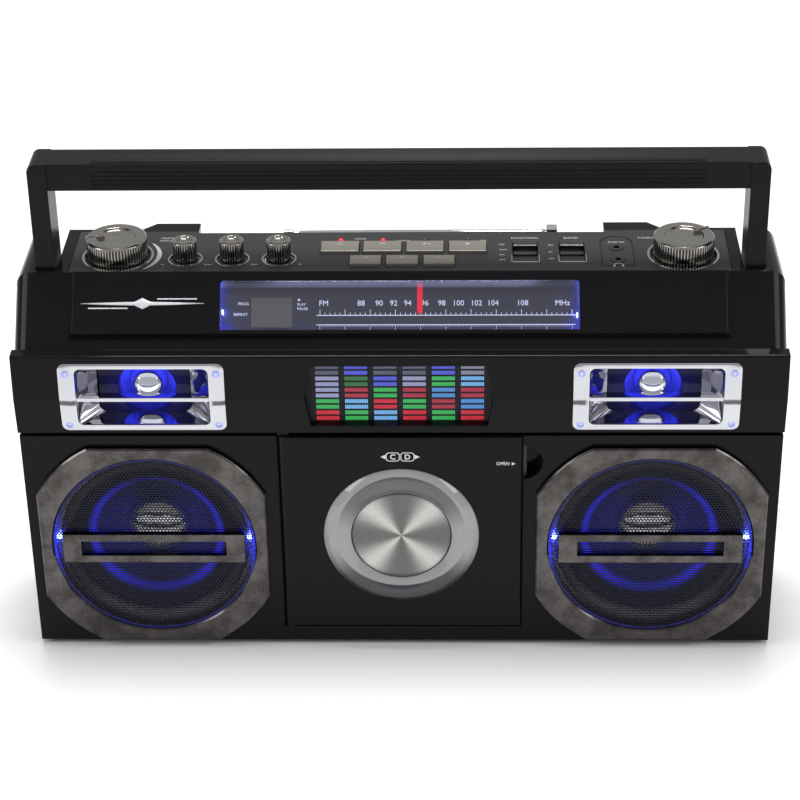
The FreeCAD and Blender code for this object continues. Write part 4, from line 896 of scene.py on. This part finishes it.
def crossHead(centre, radius, height, depth):
    # a low screw head: height (1 - 0.35 (r / radius)^2), less depth inside a cross-shaped recess
    rings, spokes = 12, 48
    r = np.concatenate([np.linspace(0.12, 1, rings) * radius, [radius, radius * 0.9]])
    angle = np.linspace(0, 2 * pi, spokes, endpoint=False)
    rr, aa = np.meshgrid(r, angle, indexing="ij")
    u, v = rr * np.cos(aa + 0.5), rr * np.sin(aa + 0.5)
    crown = height * (1 - (rr / radius) ** 2 * 0.35)
    arm = 0.2 * radius
    inCross = ((np.abs(u) < arm) | (np.abs(v) < arm)) & (np.hypot(u, v) < 0.66 * radius)
    crown = crown - depth * inCross
    crown[-2:] = [[height * 0.2], [-0.4]]
    points, faces = gridShape(np.stack([u, v, crown], axis=-1), wrapV=True)
    faces.append(list(range(spokes)))
    x, up, out = points.T
    return np.stack([x, -out, up], axis=1) + np.asarray(centre, float), faces


def buildHornScrews():
    # a head in each corner of both flanges, standing on the plate's own depth
    low, high = nodeBox("left_tweeter_horn")
    heads = []
    for x in (-99.8, -182.7, 99.8, 182.7):
        for z in (low[2] + 4.1, high[2] - 6.4):
            heads.append(crossHead((x, float(plateFace(np.array(z))) + 0.45, z), 2.2, 0.75, 0.5))
    makePiece("horn_screw_heads", joinShapes(heads), finish["hornScrew"],
              replaces=["horn_screws"], sharp=50)


level = {"columns": 6, "rows": 10, "cells": 14, "gap": 0.22, "thick": 0.2, "drop": 0.75, "barWide": 12.7,
         "barTall": 2.3}
levelTints = {
    "grey": (100, 105, 128), "ash": (150, 155, 175), "pale": (170, 175, 212), "green": (62, 200, 98),
    "moss": (62, 128, 66), "red": (228, 44, 64), "rose": (190, 52, 76), "sky": (128, 198, 255),
    "steel": (92, 160, 235), "violet": (92, 104, 235),
}
levelColumns = [
    ["grey", "pale", "pale", "green", "red"], ["violet", "moss", "rose", "sky", "green"],
    ["grey", "violet", "green", "red", "sky"], ["grey", "pale", "rose", "green", "red"],
    ["violet", "green", "steel", "rose", "green"], ["ash", "sky", "rose", "steel", "red"],
]


def fromScreen(red, green, blue):
    # screen values from 0 to 255 as light: a power curve of 2.4 above its short straight foot
    return tuple(float(((value / 255 + 0.055) / 1.055) ** 2.4) for value in (red, green, blue))


def buildLevelBars():
    # every bar is a row of cells a gap apart; two rows share each entry of the column's list
    low, high = nodeBox("eq_bars")
    columnStep = (high[0] - low[0] - level["barWide"]) / (level["columns"] - 1)
    rowStep = (high[2] - low[2] - level["barTall"]) / (level["rows"] - 1)
    shapes, tints = [], []
    cellWide = level["barWide"] / level["cells"]
    for column in range(level["columns"]):
        for row in range(level["rows"]):
            tint = fromScreen(*levelTints[levelColumns[column][4 - row // 2]])
            left, base = low[0] + column * columnStep, low[2] + row * rowStep - level["drop"]
            for cell in range(level["cells"]):
                x = left + cell * cellWide
                shapes.append(blockShape(x + level["gap"] / 2, x + cellWide - level["gap"] / 2,
                                         high[1] - level["thick"], high[1], base, base + level["barTall"]))
                tints += [(*tint, 1)] * 8
    makePiece("level_cells", joinShapes(shapes), tintedBars(), replaces=["eq_bars"],
              colours=tints)


dial = {"lineHigh": 19.5, "lineLow": 14.2, "lineFrom": -45.2, "lineTo": 96.9, "first": -43.3, "last": 95.0,
        "majors": 11, "parts": 5, "wordsUp": 26.2, "wordSize": 4.3, "plate": -2.74,
        "words": [("FM", -41.3), ("88", -20.7), ("90", -10.8), ("92", -2.8), ("94", 4.9), ("96", 14.3),
                  ("98", 23.6), ("100", 32.7), ("102", 42.6), ("104", 51.7), ("108", 67.9), ("MHz", 89.8)],
        "smallWords": [("PROG", -85.5, 26.0, 2.3), ("REPEAT", -87.0, 20.0, 2.3), ("PLAY", -53.5, 25.6, 2.1),
                       ("PAUSE", -52.9, 23.2, 2.1)]}


def buildDialPrint():
    # two lines with evenly spaced ticks, long at every major step, and words; all lie on the dial's plate
    up, down, plate = dial["lineHigh"], dial["lineLow"], dial["plate"]
    sunk = plate - printThick
    ticks, span = (dial["majors"] - 1) * dial["parts"], dial["last"] - dial["first"]
    shapes = [markShape(dial["lineFrom"], dial["lineTo"], height - 0.2, height + 0.2, sunk)
              for height in (up, down)]
    for tick in range(ticks + 1):
        x = dial["first"] + span * tick / ticks
        tall = 3.2 if tick % dial["parts"] == 0 else 1.5
        shapes.append(markShape(x - 0.14, x + 0.14, up, up + tall, sunk))
    for tick in range(2 * ticks + 1):
        x = dial["first"] + span * tick / (2 * ticks)
        tall = 3.0 if tick % (2 * dial["parts"]) == 0 else 1.2
        shapes.append(markShape(x - 0.11, x + 0.11, down - tall, down, sunk))
    for words, x in dial["words"]:
        shapes.append(moved(textShape(words, dial["wordSize"]), x, dial["wordsUp"], plate))
    for words, x, height, size in dial["smallWords"]:
        shapes.append(moved(textShape(words, size), x, height, plate))
    shapes.append(moved(triangleShape(1.3), -54.8, 28.2, plate))
    makePiece("dial_lettering", onSlope(joinShapes(shapes)), printedGlow())


def triangleShape(size):
    # a flat arrow head that points along x
    base = np.array([[-size / 2, -size * 0.6], [size * 0.7, 0], [-size / 2, size * 0.6]])
    return loftShape([np.column_stack([base, np.full(3, rise)]) for rise in (0, printThick)])


def frameShape(outline, width, height=0.01):
    # a flat band inside a closed outline: its inner edge is the outline shrunk by 1 - width / reach
    middle = outline.mean(axis=0)
    reach = np.abs(outline - middle).max(axis=0)
    inner = middle + (outline - middle) * (1 - width / reach)
    top = height + printThick
    loops = [np.column_stack([line, np.full(len(line), rise)])
             for line, rise in ((outline, height), (outline, top), (inner, top), (inner, height))]
    return loftShape(loops + loops[:1], False, False)


def buildWindow():
    # a clear moulding with rolled edges that stands just proud of the fascia, lit at both ends, and the
    # dark pipes behind its upper edge
    shape = lidShape(-97.9, 98.9, 10.4, 37.8, 1.65, 3.75, corner=2.2, edge=0.9, steps=4)
    clear = clearSheet("clearWindow", (0.02, 0.02, 0.03), (0.94, 0.95, 1.0), True)
    makePiece("dial_lens", onSlope(shape), clear, replaces=["dial_window"])
    lamps = [moved(lidShape(-0.35, 0.35, -1.2, 1.2, -2.6, 0.9, 0.3, 0.2), x, up)
             for x, up in ((-96.7, 21.0), (97.7, 19.0))]
    makePiece("dial_lamps", onSlope(joinShapes(lamps)), lampMaterial)
    pipes = [moved(lidShape(-1.8, 1.8, -0.5, 0.5, -2.7, 0.5, 0.4, 0.3), x, 36.6) for x in (-48, 2, 50)]
    makePiece("dial_light_pipes", onSlope(joinShapes(pipes)), finish["innerBlack"])


ornament = {"middle": -140.5, "up": 25.0, "face": 3.05, "reach": 34, "half": 0.9}


def buildOrnament():
    # plain plated trim: a spear whose half width is half (1 - |share|^1.6), with a lozenge and two short bars
    middle, up, face = ornament["middle"], ornament["up"], ornament["face"]
    share = np.linspace(-1, 1, 41)
    x, edge = share * ornament["reach"], ornament["half"] * (1 - np.abs(share) ** 1.6) + 0.12
    outline = np.concatenate([np.column_stack([x, edge]), np.column_stack([x, -edge])[::-1]])
    spear = loftShape([np.column_stack([outline * scale, np.full(len(outline), height)])
                       for scale, height in (((1, 1), 0), ((1, 0.95), 0.5), ((0.99, 0.4), 0.85))])
    gem = np.array([[-6.5, 0], [0, -3.2], [6.5, 0], [0, 3.2]])
    lozenge = loftShape([np.column_stack([gem * scale, np.full(4, height)])
                         for scale, height in ((1, 0), (0.95, 0.7), (0.45, 1.1))])
    shapes = [moved(spear, middle, up, face), moved(lozenge, middle, up, face)]
    for offset in (-1, 1):
        bar = lidShape(-11, 11, -0.35, 0.35, 0, 0.5, 0.3, 0.2)
        shapes.append(moved(bar, middle + offset * 19, up + offset * 2.6, face))
    makePiece("fascia_ornament", onSlope(joinShapes(shapes)), finish["ornamentPlate"],
              sharp=25)


bigKnob = {"radius": 16.8, "skirt": 17.6, "teeth": 60, "ridge": 0.6, "foot": 224.2, "recess": 0.66}
smallKnob = {"radius": 6.75, "skirt": 7.15, "teeth": 28, "ridge": 0.5, "foot": 224.6, "recess": 0.62}
knobTop = 240.0


def knobShape(name, look):
    # a turned knob with a ridged side: the radius loses ridge (0.5 + 0.5 sign(c) sqrt|c|), where c is
    # cos(angle teeth)
    x, y, unused = jointAt(name + "_turn")
    radius, skirt, teeth, ridge, foot = [look[key] for key in ("radius", "skirt", "teeth", "ridge", "foot")]
    top, dish = knobTop, radius * look["recess"]

    def ripple(angle, r, height):
        # ridges on the side, and a shallower step round the skirt
        wave = np.cos(angle * teeth)
        side = (height > foot + 2.6) & (height < top - 1.2) & (r > radius - 0.2)
        hem = (height < foot + 2.1) & (r > skirt - 0.4) & (height > foot)
        return -ridge * side * (0.5 + 0.5 * np.sign(wave) * np.abs(wave) ** 0.5) - 0.45 * hem * (wave > 0)

    line = softLine([(0, foot), (skirt - 0.5, foot), (skirt, foot + 0.3), (skirt, foot + 1.8),
                     (radius, foot + 2.4), (radius, foot + 2.8), (radius, foot + 3.0), (radius, top - 1.6),
                     (radius, top - 1.4), (radius, top - 0.9), (radius - 0.9, top), (dish, top),
                     (dish - 0.7, top - 1.15), (0, top - 1.15)], 0.28, 3)
    shape = latheShape(line, (x, y, 0), "up", teeth * 8, ripple)
    # painted shade in the grooves: brightness falls with the depth below the crest of the ridges
    reach = np.hypot(shape[0][:, 0] - x, shape[0][:, 1] - y)
    height = shape[0][:, 2]
    side = (height > foot + 2.5) & (height < top - 1.2) & (reach > radius - ridge - 0.1)
    depth = np.where(side, (radius - reach) / ridge, 0)
    return shape, (x, y), np.clip(1 - depth * 0.9, 0.1, 1)


def buildKnob(word, look, turn=None):
    # a ridged knob, with an arrow on its top where a turn in degrees is given
    shape, (x, y), shades = knobShape(word, look)
    if turn is not None:
        low = knobTop - 1.4
        head = np.array([[x + 6.6, y], [x + 10.6, y - 2.1], [x + 9.7, y], [x + 10.6, y + 2.1]])
        arrow = joinShapes([lidShape(x + 9.4, x + 17.5, y - 0.7, y + 0.7, low, knobTop + 0.5, 0.4, 0.3),
                            loftShape([np.column_stack([head, np.full(4, rise)])
                                       for rise in (low, knobTop + 0.4)])])
        arrow = turnedFlat(arrow, radians(turn), (x, y, 0))
        shades = np.concatenate([shades, np.full(len(arrow[0]), 0.8)])
        shape = joinShapes([shape, arrow])
    tint = np.column_stack([shades, shades, shades, np.ones(len(shades))])
    makePiece(word + "_knob_skin", shape, knobMetal, body=word + "_knob",
              replaces=[word + "_knob"], colours=tint)


switch = {"half": 6.75, "rear": 24.1, "rimFront": -0.5}


def buildSwitches():
    # a cap on a low plate that slides, and a plated rim that stays on the panel
    half, rear, front = switch["half"], switch["rear"], switch["rimFront"]
    for name in ("function_slider", "band_slider"):
        low, high = nodeBox(name)
        cx = (low[0] + high[0]) / 2
        cap = lidShape(cx - half, cx + half, rear - 6.6, rear, 219, 229.5, 0.6, 0.5)
        plate = lidShape(cx - half, cx + half, rear - 10.7, rear - 6.7, 219, 226.2, 0.6, 0.4)
        skirt = blockShape(low[0], high[0], low[1], high[1], 221.5, 224.6)
        makePiece(name + "_cap", cap, finish["gunmetal"], body=name, replaces=[name])
        makePiece(name + "_plate", joinShapes([plate, skirt]), finish["innerBlack"], body=name)
        rims = [lidShape(cx + start, cx + start + 0.7, front, front + 8.5, 227.9, 228.5, 0.3, 0.2)
                for start in (-7.9, 7.2)]
        rims.append(lidShape(cx - 7.2, cx + 7.2, front - 0.1, front + 2.4, 225.6, 227.6, 0.3, 0.4))
        makePiece(name + "_rim", joinShapes(rims), finish["dishMetal"])


def arcShape(cx, cy, radiusIn, radiusOut, start, stop, z):
    # a flat crescent between two angles in degrees: its width follows sin^0.7 of the way along
    angle = np.radians(np.linspace(start, stop, 32))
    swell = np.sin(np.linspace(0.12, pi - 0.12, 32)) ** 0.7
    middle, half = (radiusIn + radiusOut) / 2, (radiusOut - radiusIn) / 2
    outer, inner = middle + half * swell, middle - half * swell
    far, near = [np.column_stack([cx + reach * np.cos(angle), cy + reach * np.sin(angle)])
                 for reach in (outer, inner)]
    outline = np.concatenate([far, near[::-1]])
    return loftShape([np.column_stack([outline, np.full(len(outline), height)])
                      for height in (z, z + printThick)])


panelWords = [  # words, x, y and size
    ("MASTER", -131, 30.6, 2.6), ("VOLUME", -131, 27.4, 2.6), ("TUNING", 138.5, 29.5, 2.8),
    ("FUNCTION", 69.95, 29.6, 3.0), ("BAND", 95.95, 29.6, 3.0), ("AUX IN", 121, 24.0, 2.8),
    ("CD", 57.0, 21.5, 2.2), ("AUX", 57.6, 15.0, 2.2), ("FM", 57.0, 8.5, 2.2), ("AM", 57.0, 2.5, 2.2),
    ("FM", 84.2, 20.5, 2.2), ("ST", 84.2, 12.0, 2.2), ("AM", 84.2, 3.5, 2.2), ("POWER", -22.6, 29.2, 1.9),
    ("TREBLE", -119.3, 18.6, 2.3), ("BASS", -93.1, 18.6, 2.3), ("BALANCE", -67.0, 18.6, 2.3),
    ("CHARGE", 1.4, 26.8, 1.9), ("PAIR", 46.5, 26.8, 1.9),
]


def buildPanelPrint():
    # words, the volume crescent, a minus and a plus beside each tone knob, and the headphone sign
    z = topZ + 0.01
    shapes = [moved(textShape(words, size, 0.02), x, y, z) for words, x, y, size in panelWords]
    x, y, unused = jointAt("volume_turn")
    shapes.append(arcShape(x, y, 22.0, 24.6, -46, 40, z))
    for name in ("treble", "bass", "balance"):
        x, y, unused = jointAt(name + "_turn")
        for middle in (x - 12.0, x + 12.0):
            shapes.append(markShape(middle - 1.0, middle + 1.0, y - 7.7, y - 7.2, z))
        shapes.append(markShape(x + 11.75, x + 12.25, y - 8.45, y - 6.45, z))
    shapes.append(arcShape(121, -4.6, 2.1, 2.8, 0, 180, z))
    shapes += [markShape(middle - 0.55, middle + 0.55, -6.2, -4.4, z) for middle in (118.6, 123.4)]
    makePiece("panel_lettering", joinShapes(shapes), finish["print"])


backArrow = triangleShape(1.4)
buttonMarks = {
    "power_button": [arcShape(0, 0, 0.9, 1.25, 120, 420, 0), markShape(-0.15, 0.15, 0.2, 1.5)],
    "mode_button": [markShape(-1.6, 1.6, -0.18, 0.18), markShape(-1.6, 1.6, 0.6, 0.96)],
    "play_button": [triangleShape(1.8), markShape(1.9, 2.2, -1.0, 1.0), markShape(2.6, 2.9, -1.0, 1.0)],
    "stop_button": [markShape(-0.9, 0.9, -0.9, 0.9)],
    "previous_button": [moved((backArrow[0] * [-1, 1, 1], backArrow[1]), 0.6),
                        markShape(-1.0, -0.7, -0.8, 0.8)],
    "next_button": [moved(triangleShape(1.4), -0.6), markShape(0.7, 1.0, -0.8, 0.8)],
    "repeat_button": [arcShape(0, 0, 0.8, 1.1, 30, 330, 0)],
}


def buildButtonMarks():
    # each sign lies on the middle of its button, a little towards the rear, and presses with it
    z = nodeBox("play_button")[1][2] + 0.01
    for name, shapes in buttonMarks.items():
        x, y, unused = sum(nodeBox(name)) / 2
        makePiece(name + "_mark", moved(joinShapes(shapes), x, y + 2.2, z), finish["print"], body=name)


grip = {"core": 1.35, "corner": 3.0, "ribPitch": 2.6, "ribDeep": 0.62}


def buildGrip():
    # ribs that run the length of the grip: at a share s of the way round, the section lies inward by
    # ribDeep (1 - wave^0.6), where wave = 0.5 + 0.5 cos(2 pi ribs s)
    low, high = nodeBox("handle_grip")
    outline = roundRect(low[1], high[1], low[2], high[2], grip["corner"], 6, 34)
    middle = (low[1:] + high[1:]) / 2
    steps = np.linalg.norm(np.roll(outline, -1, axis=0) - outline, axis=1)
    along = np.concatenate([[0], np.cumsum(steps)])
    total = steps.sum()
    ribs = round(total / grip["ribPitch"])
    fine = np.linspace(0, total, ribs * 10, endpoint=False)
    closed = np.concatenate([outline, outline[:1]])
    ring = np.column_stack([np.interp(fine, along, closed[:, axis]) for axis in (0, 1)])
    wave = 0.5 + 0.5 * np.cos(fine / total * ribs * 2 * pi)
    inward = (middle - ring) / np.maximum(np.abs(middle - ring).max(axis=1, keepdims=True), 1e-6)
    ribbed = ring + inward * (grip["ribDeep"] * (1 - wave ** 0.6))[:, None]
    plain, eased = ring + inward * grip["core"], ring + inward * 0.5
    stations = [(low[0], plain), (low[0] + 0.05, eased), (low[0] + 0.8, ribbed),
                (high[0] - 0.8, ribbed), (high[0] - 0.05, eased), (high[0], plain)]
    sleeve = loftShape([np.column_stack([np.full(len(section), x), section]) for x, section in stations])
    makePiece("grip_sleeve", sleeve, finish["gripBlack"], body="carry_handle",
              replaces=["handle_grip"], sharp=60)


door = {  # radius and rise pairs over the door's face
    "ring": [(28.6, 0), (44.15, 0), (44.1, 0.9), (42.4, 2.6), (40.2, 4.5), (37.6, 4.88), (35.4, 4.75),
             (32.6, 3.9), (30.0, 2.2), (28.8, 1.4), (28.6, 1.0), (28.6, 0)],
    "cap": [(0, 0), (28.3, 0), (28.3, 0.6), (27.6, 1.0), (27.0, 1.0), (26.8, 0.75), (2.0, 0.95), (0.4, 0.8),
            (0, 0.7)],
    "openAt": (57.4, 47.3), "signUp": 51.8, "signHalf": 3.9, "letterAt": 4.1,
}


def buildDoorTrim():
    # milky ring and spun cap turned about the disc's axis, and flat lettering; all swing with the door
    x, unused, z = jointAt("disc_spin")
    face = -nodeBox("cd_door")[0][1]
    ring = softLine(np.array(door["ring"]) + (0, face), 0.9, 4)
    makePiece("door_ring_skin", latheShape(ring, (x, 0, z), "front", 128), ringGrey(z), body="cd_door",
              replaces=["cd_door_ring"])
    cap = softLine(np.array(door["cap"]) + (0, face), 0.2, 2)
    makePiece("door_cap_skin", latheShape(cap, (x, 0, z), "front", 128), spunAluminium(z), body="cd_door",
              replaces=["cd_door_cap"])
    up, half, out = z + door["signUp"], door["signHalf"], door["letterAt"]
    tip, tipFaces = triangleShape(2.4)
    shapes = []
    for letter, side in (("C", -1), ("D", 1)):
        shapes.append(moved(textShape(letter, 4.6, 0.1), side * out, up - 0.2, 0.01))
        outline = roundRect(side * out - half, side * out + half, up - 2.9, up + 2.9, 1.8, 4, 2)
        shapes += [frameShape(outline, 0.45), moved((tip * [side, 1, 1], tipFaces), side * 9.3, up, 0.01)]
    across, height = door["openAt"]
    shapes += [moved(textShape("OPEN", 2.9, 0.03), across, z + height, 0.01),
               moved(triangleShape(1.7), across + 5.8, z + height, 0.01)]
    makePiece("door_lettering", onFront(joinShapes(shapes), -face), finish["doorPrint"], body="cd_door")


def buildAntenna():
    # mast: stepped tube, eye and neck round the lean pivot; tip: a thin rod with a button, in the tube's bore
    low, high = nodeBox("antenna_mast")
    pivotX, y, z = jointAt("antenna_lean")
    reach = pivotX - 3.2 - low[0]
    line = [(1.58, 0.0), (1.8, 0.0), (1.8, 7.0), (1.9, 7.2), (1.9, 14.0), (2.0, 14.2), (2.0, 40),
            (2.15, 40.3), (2.15, reach - 12), (2.28, reach - 11.4), (2.28, reach - 1.0), (2.0, reach),
            (1.58, reach), (1.58, 0.0)]
    tube = latheShape([(r, -along) for r, along in line], (low[0], y, z), "side", 32)
    eye = softLine([(1.26, -2.2), (2.8, -2.2), (2.8, 2.2), (1.26, 2.2), (1.26, -2.2)], 0.3, 2)
    neck = moved(lidShape(-4.2, -1.9, -1.6, 1.6, -1.6, 1.6, 0.5, 0.5), pivotX, y, z)
    makePiece("mast_sections", joinShapes([tube, latheShape(eye, (pivotX, y, z), "up", 32), neck]),
              finish["chrome"], body="antenna_mast", replaces=["antenna_mast"])
    tip = softLine([(0, 0.0), (2.2, 0.0), (2.55, 0.5), (2.55, 5.2), (2.2, 5.8), (1.45, 6.0), (1.45, 138),
                    (0, 138)], 0.3, 2)
    tipX = nodeBox("antenna_tip")[0][0]
    makePiece("tip_section", latheShape([(r, -along) for r, along in tip], (tipX, y, z), "side", 32),
              finish["chrome"], body="antenna_tip", replaces=["antenna_tip"])


studio = {
    "floor": 6.0, "sky": 0.45,
    "lamps": [("left", (-2.3, -0.7, 1.5), 1.2, 20), ("right", (2.3, -0.7, 1.5), 1.2, 20),
              ("over", (0, 0.35, 2.6), 1.1, 70)],  # name, place, width in metres and power in watts
}


def buildStage():
    # a pale floor, an even white sky and three square soft lamps that look at the middle of the set
    size = studio["floor"]
    floorMesh = bpy.data.meshes.new("floor")
    corners = [(-size, -size, 0), (size, -size, 0), (size, size, 0), (-size, size, 0)]
    floorMesh.from_pydata(corners, [], [(0, 1, 2, 3)])
    floor = bpy.data.objects.new("floor", floorMesh)
    shade = Shade("floorPale")
    cloud = shade.noise(300, 2)
    shade.put(base=shade.mix(cloud, colour(0.80, 0.80, 0.80), colour(0.84, 0.84, 0.84)), rough=0.7)
    floorMesh.materials.append(shade.material)
    scene = bpy.context.scene
    scene.collection.objects.link(floor)
    scene.world = scene.world or bpy.data.worlds.new("studio")
    scene.world.use_nodes = True
    sky = scene.world.node_tree.nodes["Background"].inputs
    sky["Color"].default_value, sky["Strength"].default_value = (1, 1, 1, 1), studio["sky"]
    scene.view_settings.view_transform = "Standard"
    for name, spot, width, power in studio["lamps"]:
        light = bpy.data.lights.new(name, "AREA")
        light.shape, light.size, light.energy = "SQUARE", width, power
        holder = bpy.data.objects.new(name, light)
        holder.location = spot
        holder.rotation_euler = (Vector((0, 0, 0.12)) - Vector(spot)).to_track_quat("-Z", "Y").to_euler()
        scene.collection.objects.link(holder)


view = {"eye": (0.0374, -1.1620, 0.8100), "pitch": 29.96, "yaw": -1.89, "roll": -1.01, "lens": 105.48}


def buildCamera():
    # forward = (sin yaw cos pitch, cos yaw cos pitch, -sin pitch); right and up are then rolled about it
    pitch, yaw, roll = radians(view["pitch"]), radians(view["yaw"]), radians(view["roll"])
    forward = Vector((sin(yaw) * cos(pitch), cos(yaw) * cos(pitch), -sin(pitch)))
    right = Vector((cos(yaw), -sin(yaw), 0))
    up = right.cross(forward)
    turnedRight = right * cos(roll) + up * sin(roll)
    turnedUp = up * cos(roll) - right * sin(roll)
    camera = bpy.data.cameras.new("camera")
    camera.lens, camera.sensor_width, camera.clip_start = view["lens"], 36, 0.05
    holder = bpy.data.objects.new("camera", camera)
    matrix = Matrix((turnedRight, turnedUp, -forward)).transposed().to_4x4()
    matrix.translation = Vector(view["eye"])
    holder.matrix_world = matrix
    bpy.context.scene.collection.objects.link(holder)
    bpy.context.scene.camera = holder


def domeMetal(name, low, high, rough):
    # plated dome between two shades
    shade = Shade(name)
    cloud = shade.noise(3, 2)
    shade.put(base=shade.mix(cloud, colour(*low), colour(*high)), metal=1.0, rough=cloud * 0.08 + rough)
    return shade.material


def ridgedMetal():
    # plated knobs: the mesh carries how deep each point lies in its groove, and the colour darkens there as
    # painted shade
    shade = Shade("knobMetal")
    depth = shade.node("ShaderNodeAttribute", {"attribute_name": "tint"}, None, "Fac")
    cloud = shade.noise(3, 2)
    plate = shade.mix(cloud, colour(0.32, 0.308, 0.29), colour(0.44, 0.42, 0.395))
    shade.put(base=shade.mix(depth, colour(0.018, 0.018, 0.017), plate), metal=1.0, rough=cloud * 0.08 + 0.14)
    return shade.material


lampMaterial = lampBlue()
throatMaterial = throatBlue(140, 168.5)
hornPlate = hornChrome()
domeSilver = domeMetal("domeSilver", (0.82, 0.82, 0.88), (0.92, 0.92, 0.97), 0.12)
domeChrome = domeMetal("domeChrome", (0.80, 0.83, 0.97), (0.88, 0.90, 0.99), 0.06)
knobMetal = ridgedMetal()

buildCamera()
buildStage()
dressCad()
print("stage: CAD pieces dressed")
for word in ("left", "right"):
    buildWoofer(word)
    throatRect, throatDepth = buildHorn(word)
    buildDriver(word, throatRect, throatDepth)
buildHornScrews()
buildLevelBars()
print("stage: speakers and level display built")
buildDialPrint()
buildWindow()
buildOrnament()
for word, turn in (("volume", 180), ("tuning", 35)):
    buildKnob(word, bigKnob, turn)
for word in ("treble", "bass", "balance"):
    buildKnob(word, smallKnob)
buildSwitches()
buildPanelPrint()
buildButtonMarks()
print("stage: dial and controls built")
buildGrip()
buildDoorTrim()
buildAntenna()
print("stage: handle, door and antenna built")
